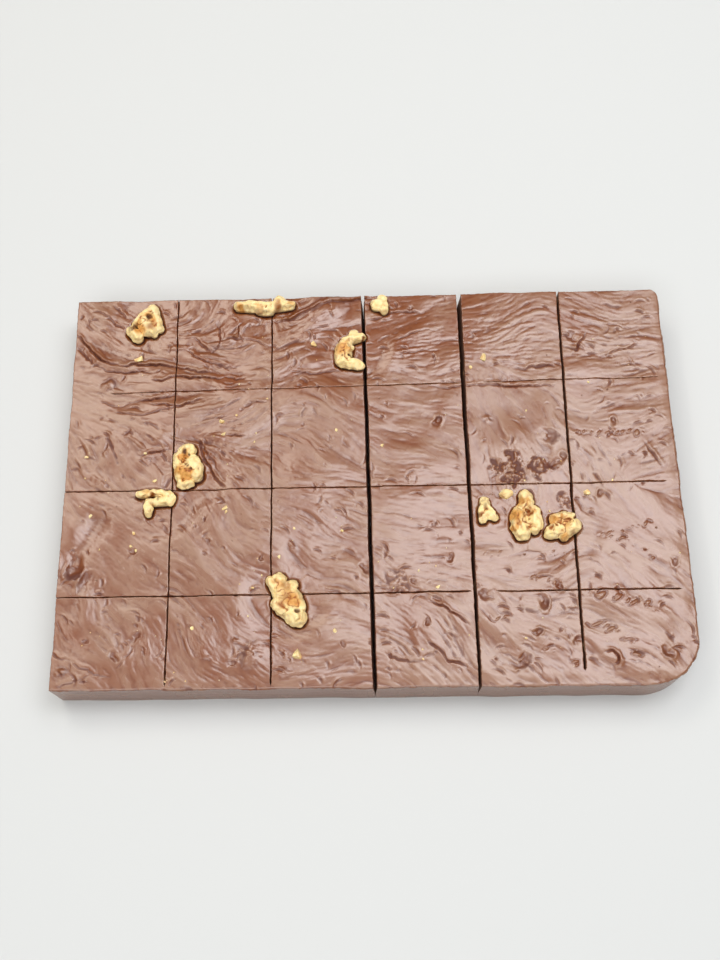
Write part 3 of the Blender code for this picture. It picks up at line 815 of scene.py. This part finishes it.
# What the broken kernels show, round places beside each piece's middle: (x, y, reach, what, strength)
KERNEL_MARKS = {
    "walnut_kite": [
        (-5.1, -1.4, 1.5, "stain", 0.7), (0.6, 3.3, 1.0, "stain", 1.0), (2.0, -0.9, 1.8, "hollow", 0.8),
        (-1.5, -2.1, 2.2, "skin", 0.9), (2.9, 5.6, 1.6, "flesh", 1.0), (-5.0, -5.0, 1.6, "flesh", 1.0),
        (0.3, -4.7, 0.8, "stain", 0.6),
    ],
    "walnut_strip": [
        (-11.0, -1.3, 1.6, "skin", 1.0), (-4.2, -2.8, 1.4, "hollow", 0.6), (-0.5, -2.5, 1.2, "flesh", 1.0),
        (2.7, -0.8, 1.4, "hollow", 0.9), (7.7, 0.2, 1.3, "skin", 0.8), (6.8, -0.5, 0.5, "stain", 0.8),
        (4.3, 2.8, 2.0, "flesh", 1.0), (-9.0, 1.6, 3.0, "flesh", 0.8),
    ],
    "walnut_chip": [(0.0, 0.0, 3.0, "flesh", 0.8), (1.0, -1.2, 0.8, "skin", 0.8)],
    "walnut_hook": [
        (-3.0, -2.0, 2.6, "skin", 0.9), (-2.6, -2.9, 0.4, "stain", 0.7), (-0.9, -4.5, 0.5, "stain", 1.0),
        (0.2, -5.6, 0.4, "stain", 0.7), (-3.6, -4.5, 0.4, "stain", 0.5), (-1.1, 2.0, 0.7, "hollow", 0.6),
        (4.5, 3.1, 0.8, "hollow", 1.0), (1.6, 5.0, 2.4, "flesh", 1.0), (2.1, -7.4, 2.2, "flesh", 1.0),
    ],
    "walnut_half": [
        (-0.6, 6.0, 0.9, "stain", 1.0), (1.3, 4.9, 0.5, "stain", 0.8), (-1.3, 1.9, 0.5, "stain", 0.8),
        (-0.6, 0.9, 0.5, "stain", 0.8), (0.1, -0.1, 0.5, "stain", 0.8), (1.0, -1.3, 0.5, "stain", 0.8),
        (2.5, 1.6, 2.4, "flesh", 1.0), (-2.8, -1.3, 2.0, "skin", 1.0), (0.2, -3.2, 1.8, "skin", 1.0),
        (-2.1, -6.1, 1.3, "flesh", 1.0), (-2.6, 4.2, 1.4, "skin", 0.7),
    ],
    "walnut_branch": [
        # The dark mark at (-5.4, -1.6) is a painted shadow beside the piece
        (-1.9, 1.0, 1.2, "hollow", 1.0), (-5.4, -1.6, 1.0, "stain", 0.8), (-4.1, 2.4, 1.6, "skin", 0.6),
        (3.1, 0.0, 1.8, "flesh", 1.0), (-2.9, -3.6, 1.4, "flesh", 0.8), (0.6, -0.9, 0.6, "stain", 0.6),
    ],
    "walnut_lobed": [
        (-0.1, 3.1, 1.7, "hollow", 0.6), (-0.1, -0.5, 1.6, "hollow", 0.6), (-1.3, -3.3, 1.4, "hollow", 0.9),
        (3.7, -5.8, 0.8, "stain", 0.9), (2.0, -8.0, 2.0, "flesh", 1.0), (-4.5, 2.1, 1.5, "flesh", 1.0),
        (2.6, -2.0, 2.2, "skin", 0.8), (-2.6, 6.5, 1.6, "flesh", 0.9),
    ],
    "walnut_sliver": [
        (1.7, -2.4, 2.0, "flesh", 1.0), (-0.5, 3.6, 1.4, "flesh", 0.9), (-1.8, -1.2, 1.0, "hollow", 1.0),
        (-0.2, 1.3, 0.9, "stain", 0.45),
    ],
    "walnut_pear": [
        (-2.3, 6.0, 1.8, "skin", 0.9), (-4.4, 1.2, 2.0, "skin", 1.0), (1.1, 1.7, 1.0, "hollow", 1.0),
        (3.4, -0.5, 2.4, "flesh", 1.0), (0.6, -3.7, 1.1, "hollow", 0.8), (-2.3, -6.2, 2.2, "flesh", 0.9),
        (-5.6, -3.0, 0.8, "skin", 1.0), (-4.2, -2.4, 0.8, "skin", 1.0), (-2.8, -1.8, 0.8, "skin", 1.0),
        (-0.3, 4.3, 0.5, "stain", 0.6), (-0.4, 8.4, 1.4, "flesh", 0.4),
    ],
    "walnut_fan": [
        (-4.6, -1.1, 0.8, "hollow", 1.0), (-2.8, -0.1, 0.8, "hollow", 1.0), (-0.8, 0.8, 0.8, "hollow", 1.0),
        (1.4, 1.7, 0.8, "hollow", 1.0), (3.5, 2.5, 0.9, "hollow", 1.0), (-3.7, 1.8, 1.8, "skin", 0.9),
        (-4.1, -4.4, 2.0, "flesh", 1.0), (4.6, 0.4, 1.9, "flesh", 1.0), (0.1, -4.6, 1.3, "skin", 0.9),
        (-0.7, 3.8, 0.9, "skin", 1.0), (2.3, -2.8, 1.1, "hollow", 0.5),
    ],
}
# The narrow gap round each kernel, where the fudge shrank from it as it set, darkened with painted shade, and
# the lip beyond
CONTACT_DEPTH, CONTACT_WIDTH = 1.1, 0.5
CONTACT_LIP = 0.08


def linear(hex_color):
    """An sRGB hex colour, as the linear values that shaders take."""
    channels = [int(hex_color[i:i + 2], 16) / 255 for i in (1, 3, 5)]
    return (*[c / 12.92 if c <= 0.04045 else ((c + 0.055) / 1.055) ** 2.4 for c in channels], 1.0)


def hills(points, size, seed):
    """Random hills in three dimensions, about that size in mm, from -1 to 1."""
    table = np.random.default_rng(seed).uniform(-1.0, 1.0, (32, 32, 32))
    scaled = points / size
    cell = np.floor(scaled).astype(int)
    a, b, c = smooth_step(scaled - cell).T
    total = np.zeros(len(points))
    for i, weight_x in ((0, 1 - a), (1, a)):
        for j, weight_y in ((0, 1 - b), (1, b)):
            for k, weight_z in ((0, 1 - c), (1, c)):
                x, y, z = ((cell + (i, j, k)) % 32).T
                total += table[x, y, z] * weight_x * weight_y * weight_z
    return total


def neighbour_mean(points, edges, degree):
    """Each point's neighbours, averaged."""
    total = np.zeros_like(points)
    for axis in range(3):
        total[:, axis] = np.bincount(edges[:, 0], points[edges[:, 1], axis], len(points))
        total[:, axis] += np.bincount(edges[:, 1], points[edges[:, 0], axis], len(points))
    return total / degree[:, None]


def eroded(cells):
    """The cells without those at their rim."""
    kept = cells.copy()
    kept[1:] &= cells[:-1]
    kept[:-1] &= cells[1:]
    kept[:, 1:] &= cells[:, :-1]
    kept[:, :-1] &= cells[:, 1:]
    return kept


class Cover:
    """The part of the top that a kernel covers, on the relief's grid."""

    def __init__(self, points):
        low, high = points[:, :2].min(0), points[:, :2].max(0)
        self.part = window(low - 6.0, high + 6.0)
        x, y = X[self.part], Y[self.part]
        standing = points[points[:, 2] > THICKNESS + 0.2]
        cells = np.zeros(x.shape, bool)
        column = np.round((standing[:, 0] - x[0, 0]) / GRID_STEP).astype(int)
        row = np.round((standing[:, 1] - y[0, 0]) / GRID_STEP).astype(int)
        cells[row, column] = True
        cells = eroded(~eroded(~cells))
        rim = cells & ~eroded(cells)
        self.cells = cells
        self.rim = np.column_stack([x[rim], y[rim]])
        self.corner = (x[0, 0], y[0, 0])

    def inside(self, x, y):
        """How far places are inside the cover's rim, in mm, and negative outside it."""
        away = np.full(x.shape, 1e9)
        for rim_x, rim_y in self.rim:
            away = np.minimum(away, (x - rim_x) ** 2 + (y - rim_y) ** 2)
        column = np.clip(np.round((x - self.corner[0]) / GRID_STEP).astype(int), 0, self.cells.shape[1] - 1)
        row = np.clip(np.round((y - self.corner[1]) / GRID_STEP).astype(int), 0, self.cells.shape[0] - 1)
        return np.where(self.cells[row, column], 1.0, -1.0) * np.sqrt(away)


def contact_relief(relief, shade, cover):
    """Draws the fudge down along a kernel's rim, with painted shade there, and a faint lip beyond."""
    part = cover.part
    x, y = X[part], Y[part]
    outside = -cover.inside(x, y)
    beyond = np.maximum(outside, 0.0)
    uneven = np.clip(0.8 + 0.5 * noise(x, y, 2.0, 33), 0.3, 1.2)
    relief[part] -= CONTACT_DEPTH * np.exp(-((beyond / CONTACT_WIDTH) ** 2))
    relief[part] += CONTACT_LIP * uneven * np.exp(-(((outside - 1.35) / 0.5) ** 2))
    # Painted shade in the gap round the kernel
    shade[part] += 1.6 * uneven * np.exp(-((beyond / (CONTACT_WIDTH * 0.9)) ** 2))


def break_flat(points, x, y, reach):
    """Turns the top of a kernel round a place into a nearly flat broken face."""
    away = np.hypot(points[:, 0] - x, points[:, 1] - y) / reach
    near = (away < 0.9) & (points[:, 2] > THICKNESS + 0.8)
    if near.sum() < 30:
        return
    middle = points[near].mean(0)
    facing = np.linalg.svd(points[near] - middle, full_matrices=False)[2][2]
    above = smooth_step((points[:, 2] - THICKNESS - 0.3) / 0.8)
    off = (points - middle) @ facing * np.exp(-(away**6)) * above
    points -= 0.85 * off[:, None] * facing


def kernel_mesh(name):
    """The solid of a kernel in fine even cells, its edges softened and its foot run down into the fudge."""
    bm = bmesh.new()
    bm.from_mesh(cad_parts[name].data)
    bmesh.ops.remove_doubles(bm, verts=bm.verts, dist=0.01 * MM)
    lowest = min(vert.co.z for vert in bm.verts)
    for vert in bm.verts:
        if vert.co.z < lowest + 0.05 * MM:
            vert.co.z -= KERNEL_ROOT * MM
    rough = mesh_from(bm, f"{name}_rough")
    worker = add_object(f"{name}_worker", rough)
    remesh = worker.modifiers.new("remesh", "REMESH")
    remesh.mode = "VOXEL"
    remesh.voxel_size = KERNEL_VOXEL * MM
    soften = worker.modifiers.new("soften", "SMOOTH")
    soften.factor = 0.5
    soften.iterations = 3
    mesh = bpy.data.meshes.new_from_object(worker.evaluated_get(bpy.context.evaluated_depsgraph_get()))
    bpy.data.objects.remove(worker)
    bpy.data.meshes.remove(rough)
    mesh.name = f"{name}_kernel"
    return mesh


def shelter(points, normals, mesh):
    """How far each point of a kernel lies in a fold, from 0 to 1."""
    edges = np.empty(len(mesh.edges) * 2, np.int32)
    mesh.edges.foreach_get("vertices", edges)
    edges = edges.reshape(-1, 2)
    degree = np.bincount(edges.ravel(), minlength=len(points)).astype(float)
    smooth = points
    for _ in range(10):
        smooth = neighbour_mean(smooth, edges, degree)
    return np.clip(((smooth - points) * normals).sum(1) / 0.2, 0.0, 1.0)


def kernel_piece(name, material):
    """A broken walnut kernel, lobed as its solid is, with broken and skinned patches. Returns its cover."""
    mesh = kernel_mesh(name)
    middle_x, middle_y, _ = WALNUTS[name]
    seed = 500 + list(WALNUTS).index(name) * 20
    points = points_of(mesh) / MM
    normals = np.empty(len(points) * 3, np.float32)
    mesh.vertex_normals.foreach_get("vector", normals)
    normals = normals.reshape(-1, 3)
    cover = Cover(points)
    inside = np.maximum(cover.inside(points[:, 0], points[:, 1]), 0.0)
    core = smooth_step((inside + 0.5 * hills(points, 1.8, seed + 3) - 1.0) / 1.2)
    bent = points + 1.0 * np.column_stack([hills(points, 2.4, seed + i) for i in range(3)])
    amount = {what: np.zeros(len(points)) for what in ("stain", "hollow", "skin", "flesh")}
    for x, y, reach, what, strength in KERNEL_MARKS[name]:
        away = np.hypot(bent[:, 0] - middle_x - x, bent[:, 1] - middle_y - y) / reach
        amount[what] = np.maximum(amount[what], strength * np.exp(-(away**4)))
    plain = 1.0 - amount["flesh"]
    folds = np.abs(hills(bent, 2.0, seed + 4))
    valleys = np.clip(1.0 - folds / 0.22, 0.0, 1.0) * (0.35 + 0.65 * core) * plain
    notches, lumps, small_lumps = [
        height * hills(points, size, seed + more)
        for more, (size, height) in enumerate((NOTCHES, LUMPS, SMALL_LUMPS), 5)
    ]
    sunk = CORE_DEPTH * core * plain + MARK_DEPTH * (amount["hollow"] + amount["stain"])
    sunk -= FLESH_RISE * amount["flesh"]
    rise = SWOLLEN + notches * (1 - core) + (lumps + small_lumps) * (0.25 + 0.75 * core * plain)
    rise -= sunk + VEIN_DEPTH * valleys
    lift = smooth_step((points[:, 2] - THICKNESS + 0.2) / 0.8)
    rng = np.random.default_rng(seed)
    for x, y, reach, what, _ in KERNEL_MARKS[name]:
        if what in ("flesh", "skin"):
            break_flat(points, middle_x + x, middle_y + y, reach * 1.05)
    for _ in range(KERNEL_BREAKS):
        x, y = points[rng.integers(len(points)), :2]
        break_flat(points, x, y, rng.uniform(*BREAK_REACH))
    points += normals * (rise * lift)[:, None]
    # The folds' orange-brown: the listed hollow marks, and painted shade by how deep each point lies in a
    # fold
    hollow = np.maximum(amount["hollow"], 0.6 * shelter(points, normals, mesh) + 0.6 * valleys)
    set_points(mesh, points)
    skin = core * plain * (0.45 + 0.8 * hills(points, 2.6, seed + 8)) + amount["skin"]
    skin += 0.35 * np.clip(hills(points, 3.4, seed + 9) - 0.2, 0.0, 1.0)
    set_attribute(mesh, "hollow", np.clip(hollow, 0.0, 1.0))
    set_attribute(mesh, "skin", np.clip(skin - 0.6 * amount["flesh"], 0.0, 1.0))
    set_attribute(mesh, "stain", np.clip(amount["stain"], 0.0, 1.0))
    mesh.materials.clear()
    mesh.materials.append(material)
    mesh.shade_smooth()
    finish_piece(mesh, "walnut", name)
    return cover


# Larger crumbs of walnut, by the square whose solid they are part of: (x, y, radius)
WALNUT_BITS = {
    "square_1_1": (-85.2, 50.6, 1.8),
    "square_1_3": (-20.9, 55.0, 1.2),
    "square_3_5": (47.4, -5.0, 2.4),
    "square_3_6": (76.1, -5.2, 1.5),
    "square_4_3": (-26.8, -60.8, 2.1),
    "square_1_5": (41.9, 47.6, 1.4),
    "square_2_2": (-54.2, 24.8, 1.0),
    "square_3_2": (-52.5, -8.0, 1.0),
}
# Clusters of walnut dust, as (x, y, reach, count)
WALNUT_DUST = [
    (0.0, 0.0, 110.0, 60), (-72.0, -60.0, 12.0, 4), (-40.0, -22.0, 14.0, 8), (20.0, -30.0, 9.0, 5),
    (60.0, -2.0, 10.0, 8), (-99.0, 10.0, 8.0, 4), (-50.0, 14.0, 12.0, 5), (-95.0, -12.0, 12.0, 4),
    (75.0, 30.0, 25.0, 5),
]
FUDGE_DUST = [(52.0, 5.0, 8.0, 40), (0.0, 0.0, 105.0, 60), (46.0, -6.0, 5.0, 10)]
# How many flat breaks shape a crumb
BREAKS = 9


def crumbs_mesh(name, places, relief, seed, squash):
    """Broken crumbs lying on the top, joined in one mesh: places holds (x, y, radius)."""
    rng = np.random.default_rng(seed)
    bm = bmesh.new()
    for x, y, radius in places:
        height = THICKNESS + float(sample(relief, np.array([x]), np.array([y]))[0])
        detail = 3 if radius > 0.9 else 2 if radius > 0.5 else 1
        turn = Matrix.Rotation(rng.uniform(0, math.tau), 4, "Z")
        there = Matrix.Translation(Vector((x, y, height + radius * 0.22)) * MM)
        long, wide = rng.uniform(0.85, 1.2), rng.uniform(0.7, 1.0)
        shape = Matrix.Diagonal((radius * long, radius * wide, radius * squash, 1.0))
        made = bmesh.ops.create_icosphere(bm, subdivisions=detail, radius=1.25)["verts"]
        ball = np.array([vert.co for vert in made])
        for _ in range(BREAKS):
            facing = rng.normal(size=3)
            facing /= np.linalg.norm(facing)
            beyond = np.maximum(ball @ facing - rng.uniform(0.5, 0.85), 0.0)
            ball -= beyond[:, None] * facing
        ball *= 1.0 + 0.12 * hills(ball + rng.uniform(0, 20, 3), 0.5, seed)[:, None]
        for vert, moved in zip(made, ball):
            vert.co = moved
        matrix = there @ Matrix.Diagonal((MM, MM, MM, 1.0)) @ turn @ shape
        bmesh.ops.transform(bm, matrix=matrix, verts=made)
    bmesh.ops.recalc_face_normals(bm, faces=bm.faces)
    return mesh_from(bm, name)


def on_slab(x, y, margin):
    """Whether a place is on the top, that far inside its edges and its rounded corner."""
    if not (-109.0 + margin < x < 108.0 - margin and -71.0 + margin < y < 73.0 - margin):
        return False
    return math.hypot(max(x - 92.0, 0.0), min(y + 55.0, 0.0)) < 17.0 - margin


def scatter(clusters, smallest, largest, seed):
    """Random places on the top, clear of the walnut pieces, as (x, y, radius)."""
    rng = np.random.default_rng(seed)
    places = []
    for x, y, reach, count in clusters:
        made = 0
        while made < count:
            px = x + rng.uniform(-reach, reach)
            py = y + rng.uniform(-reach, reach) * min(1.0, 70.0 / reach)
            radius = smallest + (largest - smallest) * rng.uniform(0, 1) ** 3
            clear = all(math.hypot(px - wx, py - wy) > wr for wx, wy, wr in WALNUTS.values())
            if clear and on_slab(px, py, 1.0):
                places.append((px, py, radius))
                made += 1
    return places


def loose_pieces(relief, flesh, fudge):
    """The walnut bits that belong to the squares, and the dust of walnut and fudge left by cutting."""
    bits = crumbs_mesh("walnut_bits", WALNUT_BITS.values(), relief, 801, 0.75)
    dust = crumbs_mesh("walnut_dust", scatter(WALNUT_DUST, 0.2, 0.8, 802), relief, 803, 0.6)
    crumbs = crumbs_mesh("fudge_crumbs", scatter(FUDGE_DUST, 0.15, 0.55, 804), relief, 805, 0.7)
    for mesh in (bits, dust):
        points = points_of(mesh) / MM
        set_attribute(mesh, "hollow", np.clip(0.5 * hills(points, 0.9, 811), 0, 1))
        set_attribute(mesh, "skin", np.clip(hills(points, 1.6, 813), 0, 1))
        set_attribute(mesh, "stain", np.zeros(len(points)))
    for name, value in (("cut", 1.0), ("shade", 0.0), ("film", 0.3)):
        set_attribute(crumbs, name, np.full(len(crumbs.vertices), value))
    for mesh, material, slot, nodes in (
        (bits, flesh, "walnut", WALNUT_BITS),
        (dust, flesh, "walnut", ()),
        (crumbs, fudge, "fudge", ()),
    ):
        mesh.materials.append(material)
        mesh.shade_smooth()
        mesh.set_sharp_from_angle(angle=math.radians(35))
        finish_piece(mesh, slot, *nodes)


def add(tree, kind, settings=None, inputs=None):
    """Adds a node with its settings, and gives each input a value or a link."""
    made = tree.nodes.new(kind)
    for name, value in (settings or {}).items():
        setattr(made, name, value)
    for name, value in (inputs or {}).items():
        if isinstance(value, bpy.types.NodeSocket):
            tree.links.new(value, made.inputs[name])
        else:
            made.inputs[name].default_value = value
    return made


def new_material(name):
    """A material with an empty node tree."""
    material = bpy.data.materials.new(name)
    material.use_nodes = True
    tree = material.node_tree
    tree.nodes.clear()
    return material, tree


def cooked_fudge():
    """Chocolate fudge, cooked, poured and cut.

    Its skin set in air: satin, with fat and sugar drawn out in a thin paler film over a red-brown body. The
    film's colour also carries painted sheen, and the creases, marks and hollows carry painted shade. A face
    left by the knife is matte, with grains of sugar and pale chips of walnut.
    """
    material, tree = new_material("cooked_chocolate_fudge")
    coords = add(tree, "ShaderNodeTexCoord").outputs["Object"]
    film, shade, cut = [
        add(tree, "ShaderNodeAttribute", {"attribute_name": name}).outputs["Fac"]
        for name in ("film", "shade", "cut")
    ]
    # Soft clouds, grains of sugar, the crumble that bends the chips' outlines, and the skin's pores
    cloud, grains, crumble, pores = [
        add(tree, "ShaderNodeTexNoise", None, {"Vector": coords, "Scale": 1 / (size * MM), "Detail": detail})
        for size, detail in ((9.0, 4.0), (0.7, 3.0), (2.6, 2.0), (0.5, 3.0))
    ]
    shifted = add(
        tree, "ShaderNodeVectorMath", {"operation": "MULTIPLY_ADD"},
        {0: crumble.outputs["Color"], 1: (5.0 * MM, 5.0 * MM, 5.0 * MM), 2: coords},
    )
    chips = add(
        tree, "ShaderNodeTexVoronoi", {"feature": "F1"},
        {"Vector": shifted.outputs[0], "Scale": 1 / (11.0 * MM), "Randomness": 1.0},
    )
    # How strong the clouds are, where the chips are, how rough the skin is, and which creases are deep
    clouds, chip, skin_rough, deep = [
        add(tree, "ShaderNodeMapRange", None, {0: value, 1: low, 2: high, 3: start, 4: end}).outputs[0]
        for value, low, high, start, end in (
            (cloud.outputs["Fac"], 0.35, 0.7, 0.0, 0.35),
            (chips.outputs["Distance"], 0.13, 0.16, 1.0, 0.0),
            (film, 0.0, 1.0, 0.22, 0.30),
            (shade, 0.35, 0.9, 0.0, 1.0),
        )
    ]
    # The red-brown body with its film and painted sheen, clouds, and painted shade in creases, marks and
    # hollows, and the cut face with its grains and chips
    skin, knife = linear("#7a3e17"), linear("#5f3722")
    for amount, over in ((film, "#8c6248"), (clouds, "#855436"), (shade, "#55200a")):
        mixed = add(tree, "ShaderNodeMix", {"data_type": "RGBA"}, {0: amount, 6: skin, 7: linear(over)})
        skin = mixed.outputs[2]
    for amount, over in ((grains.outputs["Fac"], "#9a6c52"), (chip, "#dcb98a")):
        mixed = add(tree, "ShaderNodeMix", {"data_type": "RGBA"}, {0: amount, 6: knife, 7: linear(over)})
        knife = mixed.outputs[2]
    color = add(tree, "ShaderNodeMix", {"data_type": "RGBA"}, {0: cut, 6: skin, 7: knife})
    # Dull in the creases and duller on the knife's face
    rough = skin_rough
    for amount, duller in ((deep, 0.7), (cut, 0.8)):
        mixed = add(tree, "ShaderNodeMix", {"data_type": "FLOAT"}, {0: amount, 2: rough, 3: duller})
        rough = mixed.outputs[0]
    skin_bump = add(
        tree, "ShaderNodeBump", None,
        {"Strength": 0.35, "Distance": 0.02 * MM, "Height": pores.outputs["Fac"]},
    )
    cut_bump = add(
        tree, "ShaderNodeBump", None,
        {
            "Strength": cut, "Distance": 0.18 * MM,
            "Height": grains.outputs["Fac"], "Normal": skin_bump.outputs[0],
        },
    )
    shader = add(
        tree, "ShaderNodeBsdfPrincipled", None,
        {
            "Base Color": color.outputs[2], "Roughness": rough, "IOR": 1.46,
            "Specular IOR Level": 1.0, "Normal": cut_bump.outputs[0],
        },
    )
    add(tree, "ShaderNodeOutputMaterial", None, {"Surface": shader.outputs[0]})
    return material


def walnut_flesh():
    """Walnut kernel, cracked out of its shell and broken.

    The broken flesh is cream and matte. A papery tan skin stays on the outside, and turns orange-brown in the
    folds, partly its own colour and partly painted shade.
    """
    material, tree = new_material("cracked_walnut_kernel")
    coords = add(tree, "ShaderNodeTexCoord").outputs["Object"]
    hollow, skin, stain = [
        add(tree, "ShaderNodeAttribute", {"attribute_name": name}).outputs["Fac"]
        for name in ("hollow", "skin", "stain")
    ]
    noise_inputs = {"Vector": coords, "Scale": 1 / (1.4 * MM), "Detail": 5.0}
    mottle = add(tree, "ShaderNodeTexNoise", None, noise_inputs).outputs["Fac"]
    flesh, papery = [
        add(tree, "ShaderNodeMix", {"data_type": "RGBA"}, {0: mottle, 6: dark, 7: light}).outputs[2]
        for dark, light in (
            (linear("#ecc676"), linear("#fff1c2")),
            (linear("#bf7a2c"), linear("#e8b569")),
        )
    ]
    color = flesh
    # Over the flesh: the skin, the folds' orange-brown, partly painted shade, and dark stains, one a painted
    # shadow
    for amount, over in ((skin, papery), (hollow, linear("#94501a")), (stain, linear("#4a2710"))):
        color = add(tree, "ShaderNodeMix", {"data_type": "RGBA"}, {0: amount, 6: color, 7: over}).outputs[2]
    bump = add(tree, "ShaderNodeBump", None, {"Strength": 0.5, "Distance": 0.08 * MM, "Height": mottle})
    shader = add(
        tree, "ShaderNodeBsdfPrincipled", None,
        {
            "Base Color": color, "Roughness": 0.55, "IOR": 1.46, "Normal": bump.outputs[0],
            "Subsurface Weight": 0.15, "Subsurface Radius": (0.9, 0.6, 0.3), "Subsurface Scale": 1.0 * MM,
        },
    )
    add(tree, "ShaderNodeOutputMaterial", None, {"Surface": shader.outputs[0]})
    return material


# The camera stands where the photograph was taken from
EYE = (2.52, -126.35, 417.6)
LOOK = (-0.01627, 0.30509, -0.95218)
UP = (0.02282, 0.95218, 0.3047)
LENS = 43.875


def set_camera():
    """The camera, at the photograph's place and angle."""
    look, up = Vector(LOOK).normalized(), Vector(UP).normalized()
    right = look.cross(up).normalized()
    up = right.cross(look)
    turn = Matrix((right, up, -look)).transposed().to_4x4()
    data = bpy.data.cameras.new("camera")
    data.lens = LENS
    camera = add_object("camera", data)
    camera.matrix_world = Matrix.Translation(Vector(EYE) * MM) @ turn
    bpy.context.scene.camera = camera


def set_floor():
    """A plain pale floor."""
    bm = bmesh.new()
    bmesh.ops.create_grid(bm, x_segments=1, y_segments=1, size=2.0)
    mesh = mesh_from(bm, "floor")
    material, tree = new_material("pale_floor")
    shader = add(tree, "ShaderNodeBsdfPrincipled", None, {"Base Color": linear("#cfd1d1"), "Roughness": 0.9})
    add(tree, "ShaderNodeOutputMaterial", None, {"Surface": shader.outputs[0]})
    mesh.materials.append(material)
    floor = add_object("floor", mesh)


# Soft light: boxes under a ceiling above and behind the slab, which its satin skin mirrors, and an even fill.
# Each box is (x, y, width, depth, watts, colour)
CEILING = 1000.0
# Each box hangs this far below the one before, because level ones would hide each other
BOX_STEP = 10.0
NEUTRAL, WARM = (1.0, 1.0, 1.0), (1.0, 0.92, 0.80)
BOXES = [
    (-560.0, 350.0, 800.0, 1200.0, 1.6, NEUTRAL),
    (560.0, 350.0, 800.0, 1200.0, 1.4, NEUTRAL),
    (0.0, 60.0, 320.0, 560.0, 0.4, NEUTRAL),
    (285.0, 170.0, 810.0, 250.0, 4.0, NEUTRAL),
    (420.0, -20.0, 560.0, 130.0, 0.9, NEUTRAL),
    (290.0, 430.0, 310.0, 260.0, 1.1, NEUTRAL),
    (-290.0, 480.0, 290.0, 320.0, 1.7, WARM),
    (-490.0, 300.0, 60.0, 700.0, 1.3, WARM),
    (-200.0, -600.0, 900.0, 600.0, 5.5, NEUTRAL),
]
FILL = 0.24


def set_light():
    """The light boxes and the fill."""
    for index, (x, y, width, depth, power, color) in enumerate(BOXES):
        data = bpy.data.lights.new(f"box_{index}", "AREA")
        data.shape = "RECTANGLE"
        data.size, data.size_y = width * MM, depth * MM
        data.energy = power
        data.color = color
        light = add_object(f"box_{index}", data)
        light.location = Vector((x, y, CEILING - BOX_STEP * index)) * MM
    world = bpy.data.worlds.new("studio")
    world.use_nodes = True
    world.node_tree.nodes["Background"].inputs["Color"].default_value = (1.0, 0.99, 0.97, 1.0)
    world.node_tree.nodes["Background"].inputs["Strength"].default_value = FILL
    bpy.context.scene.world = world
    bpy.context.scene.view_settings.view_transform = "Standard"


def main():
    fudge, flesh = cooked_fudge(), walnut_flesh()
    relief, shade, film = top_maps()
    for name in WALNUTS:
        contact_relief(relief, shade, kernel_piece(name, flesh))
    maps = relief, np.clip(shade, 0.0, 1.0), film
    blocks = {rows: block_mesh(rows) for rows in (INNER_ROWS, OUTER_ROWS)}
    for row in range(len(ROW_LINES) - 1):
        for column in range(len(COLUMN_LINES) - 1):
            square_piece(column, row, blocks, maps, fudge)
    loose_pieces(relief, flesh, fudge)
    set_camera()
    set_floor()
    set_light()


main()
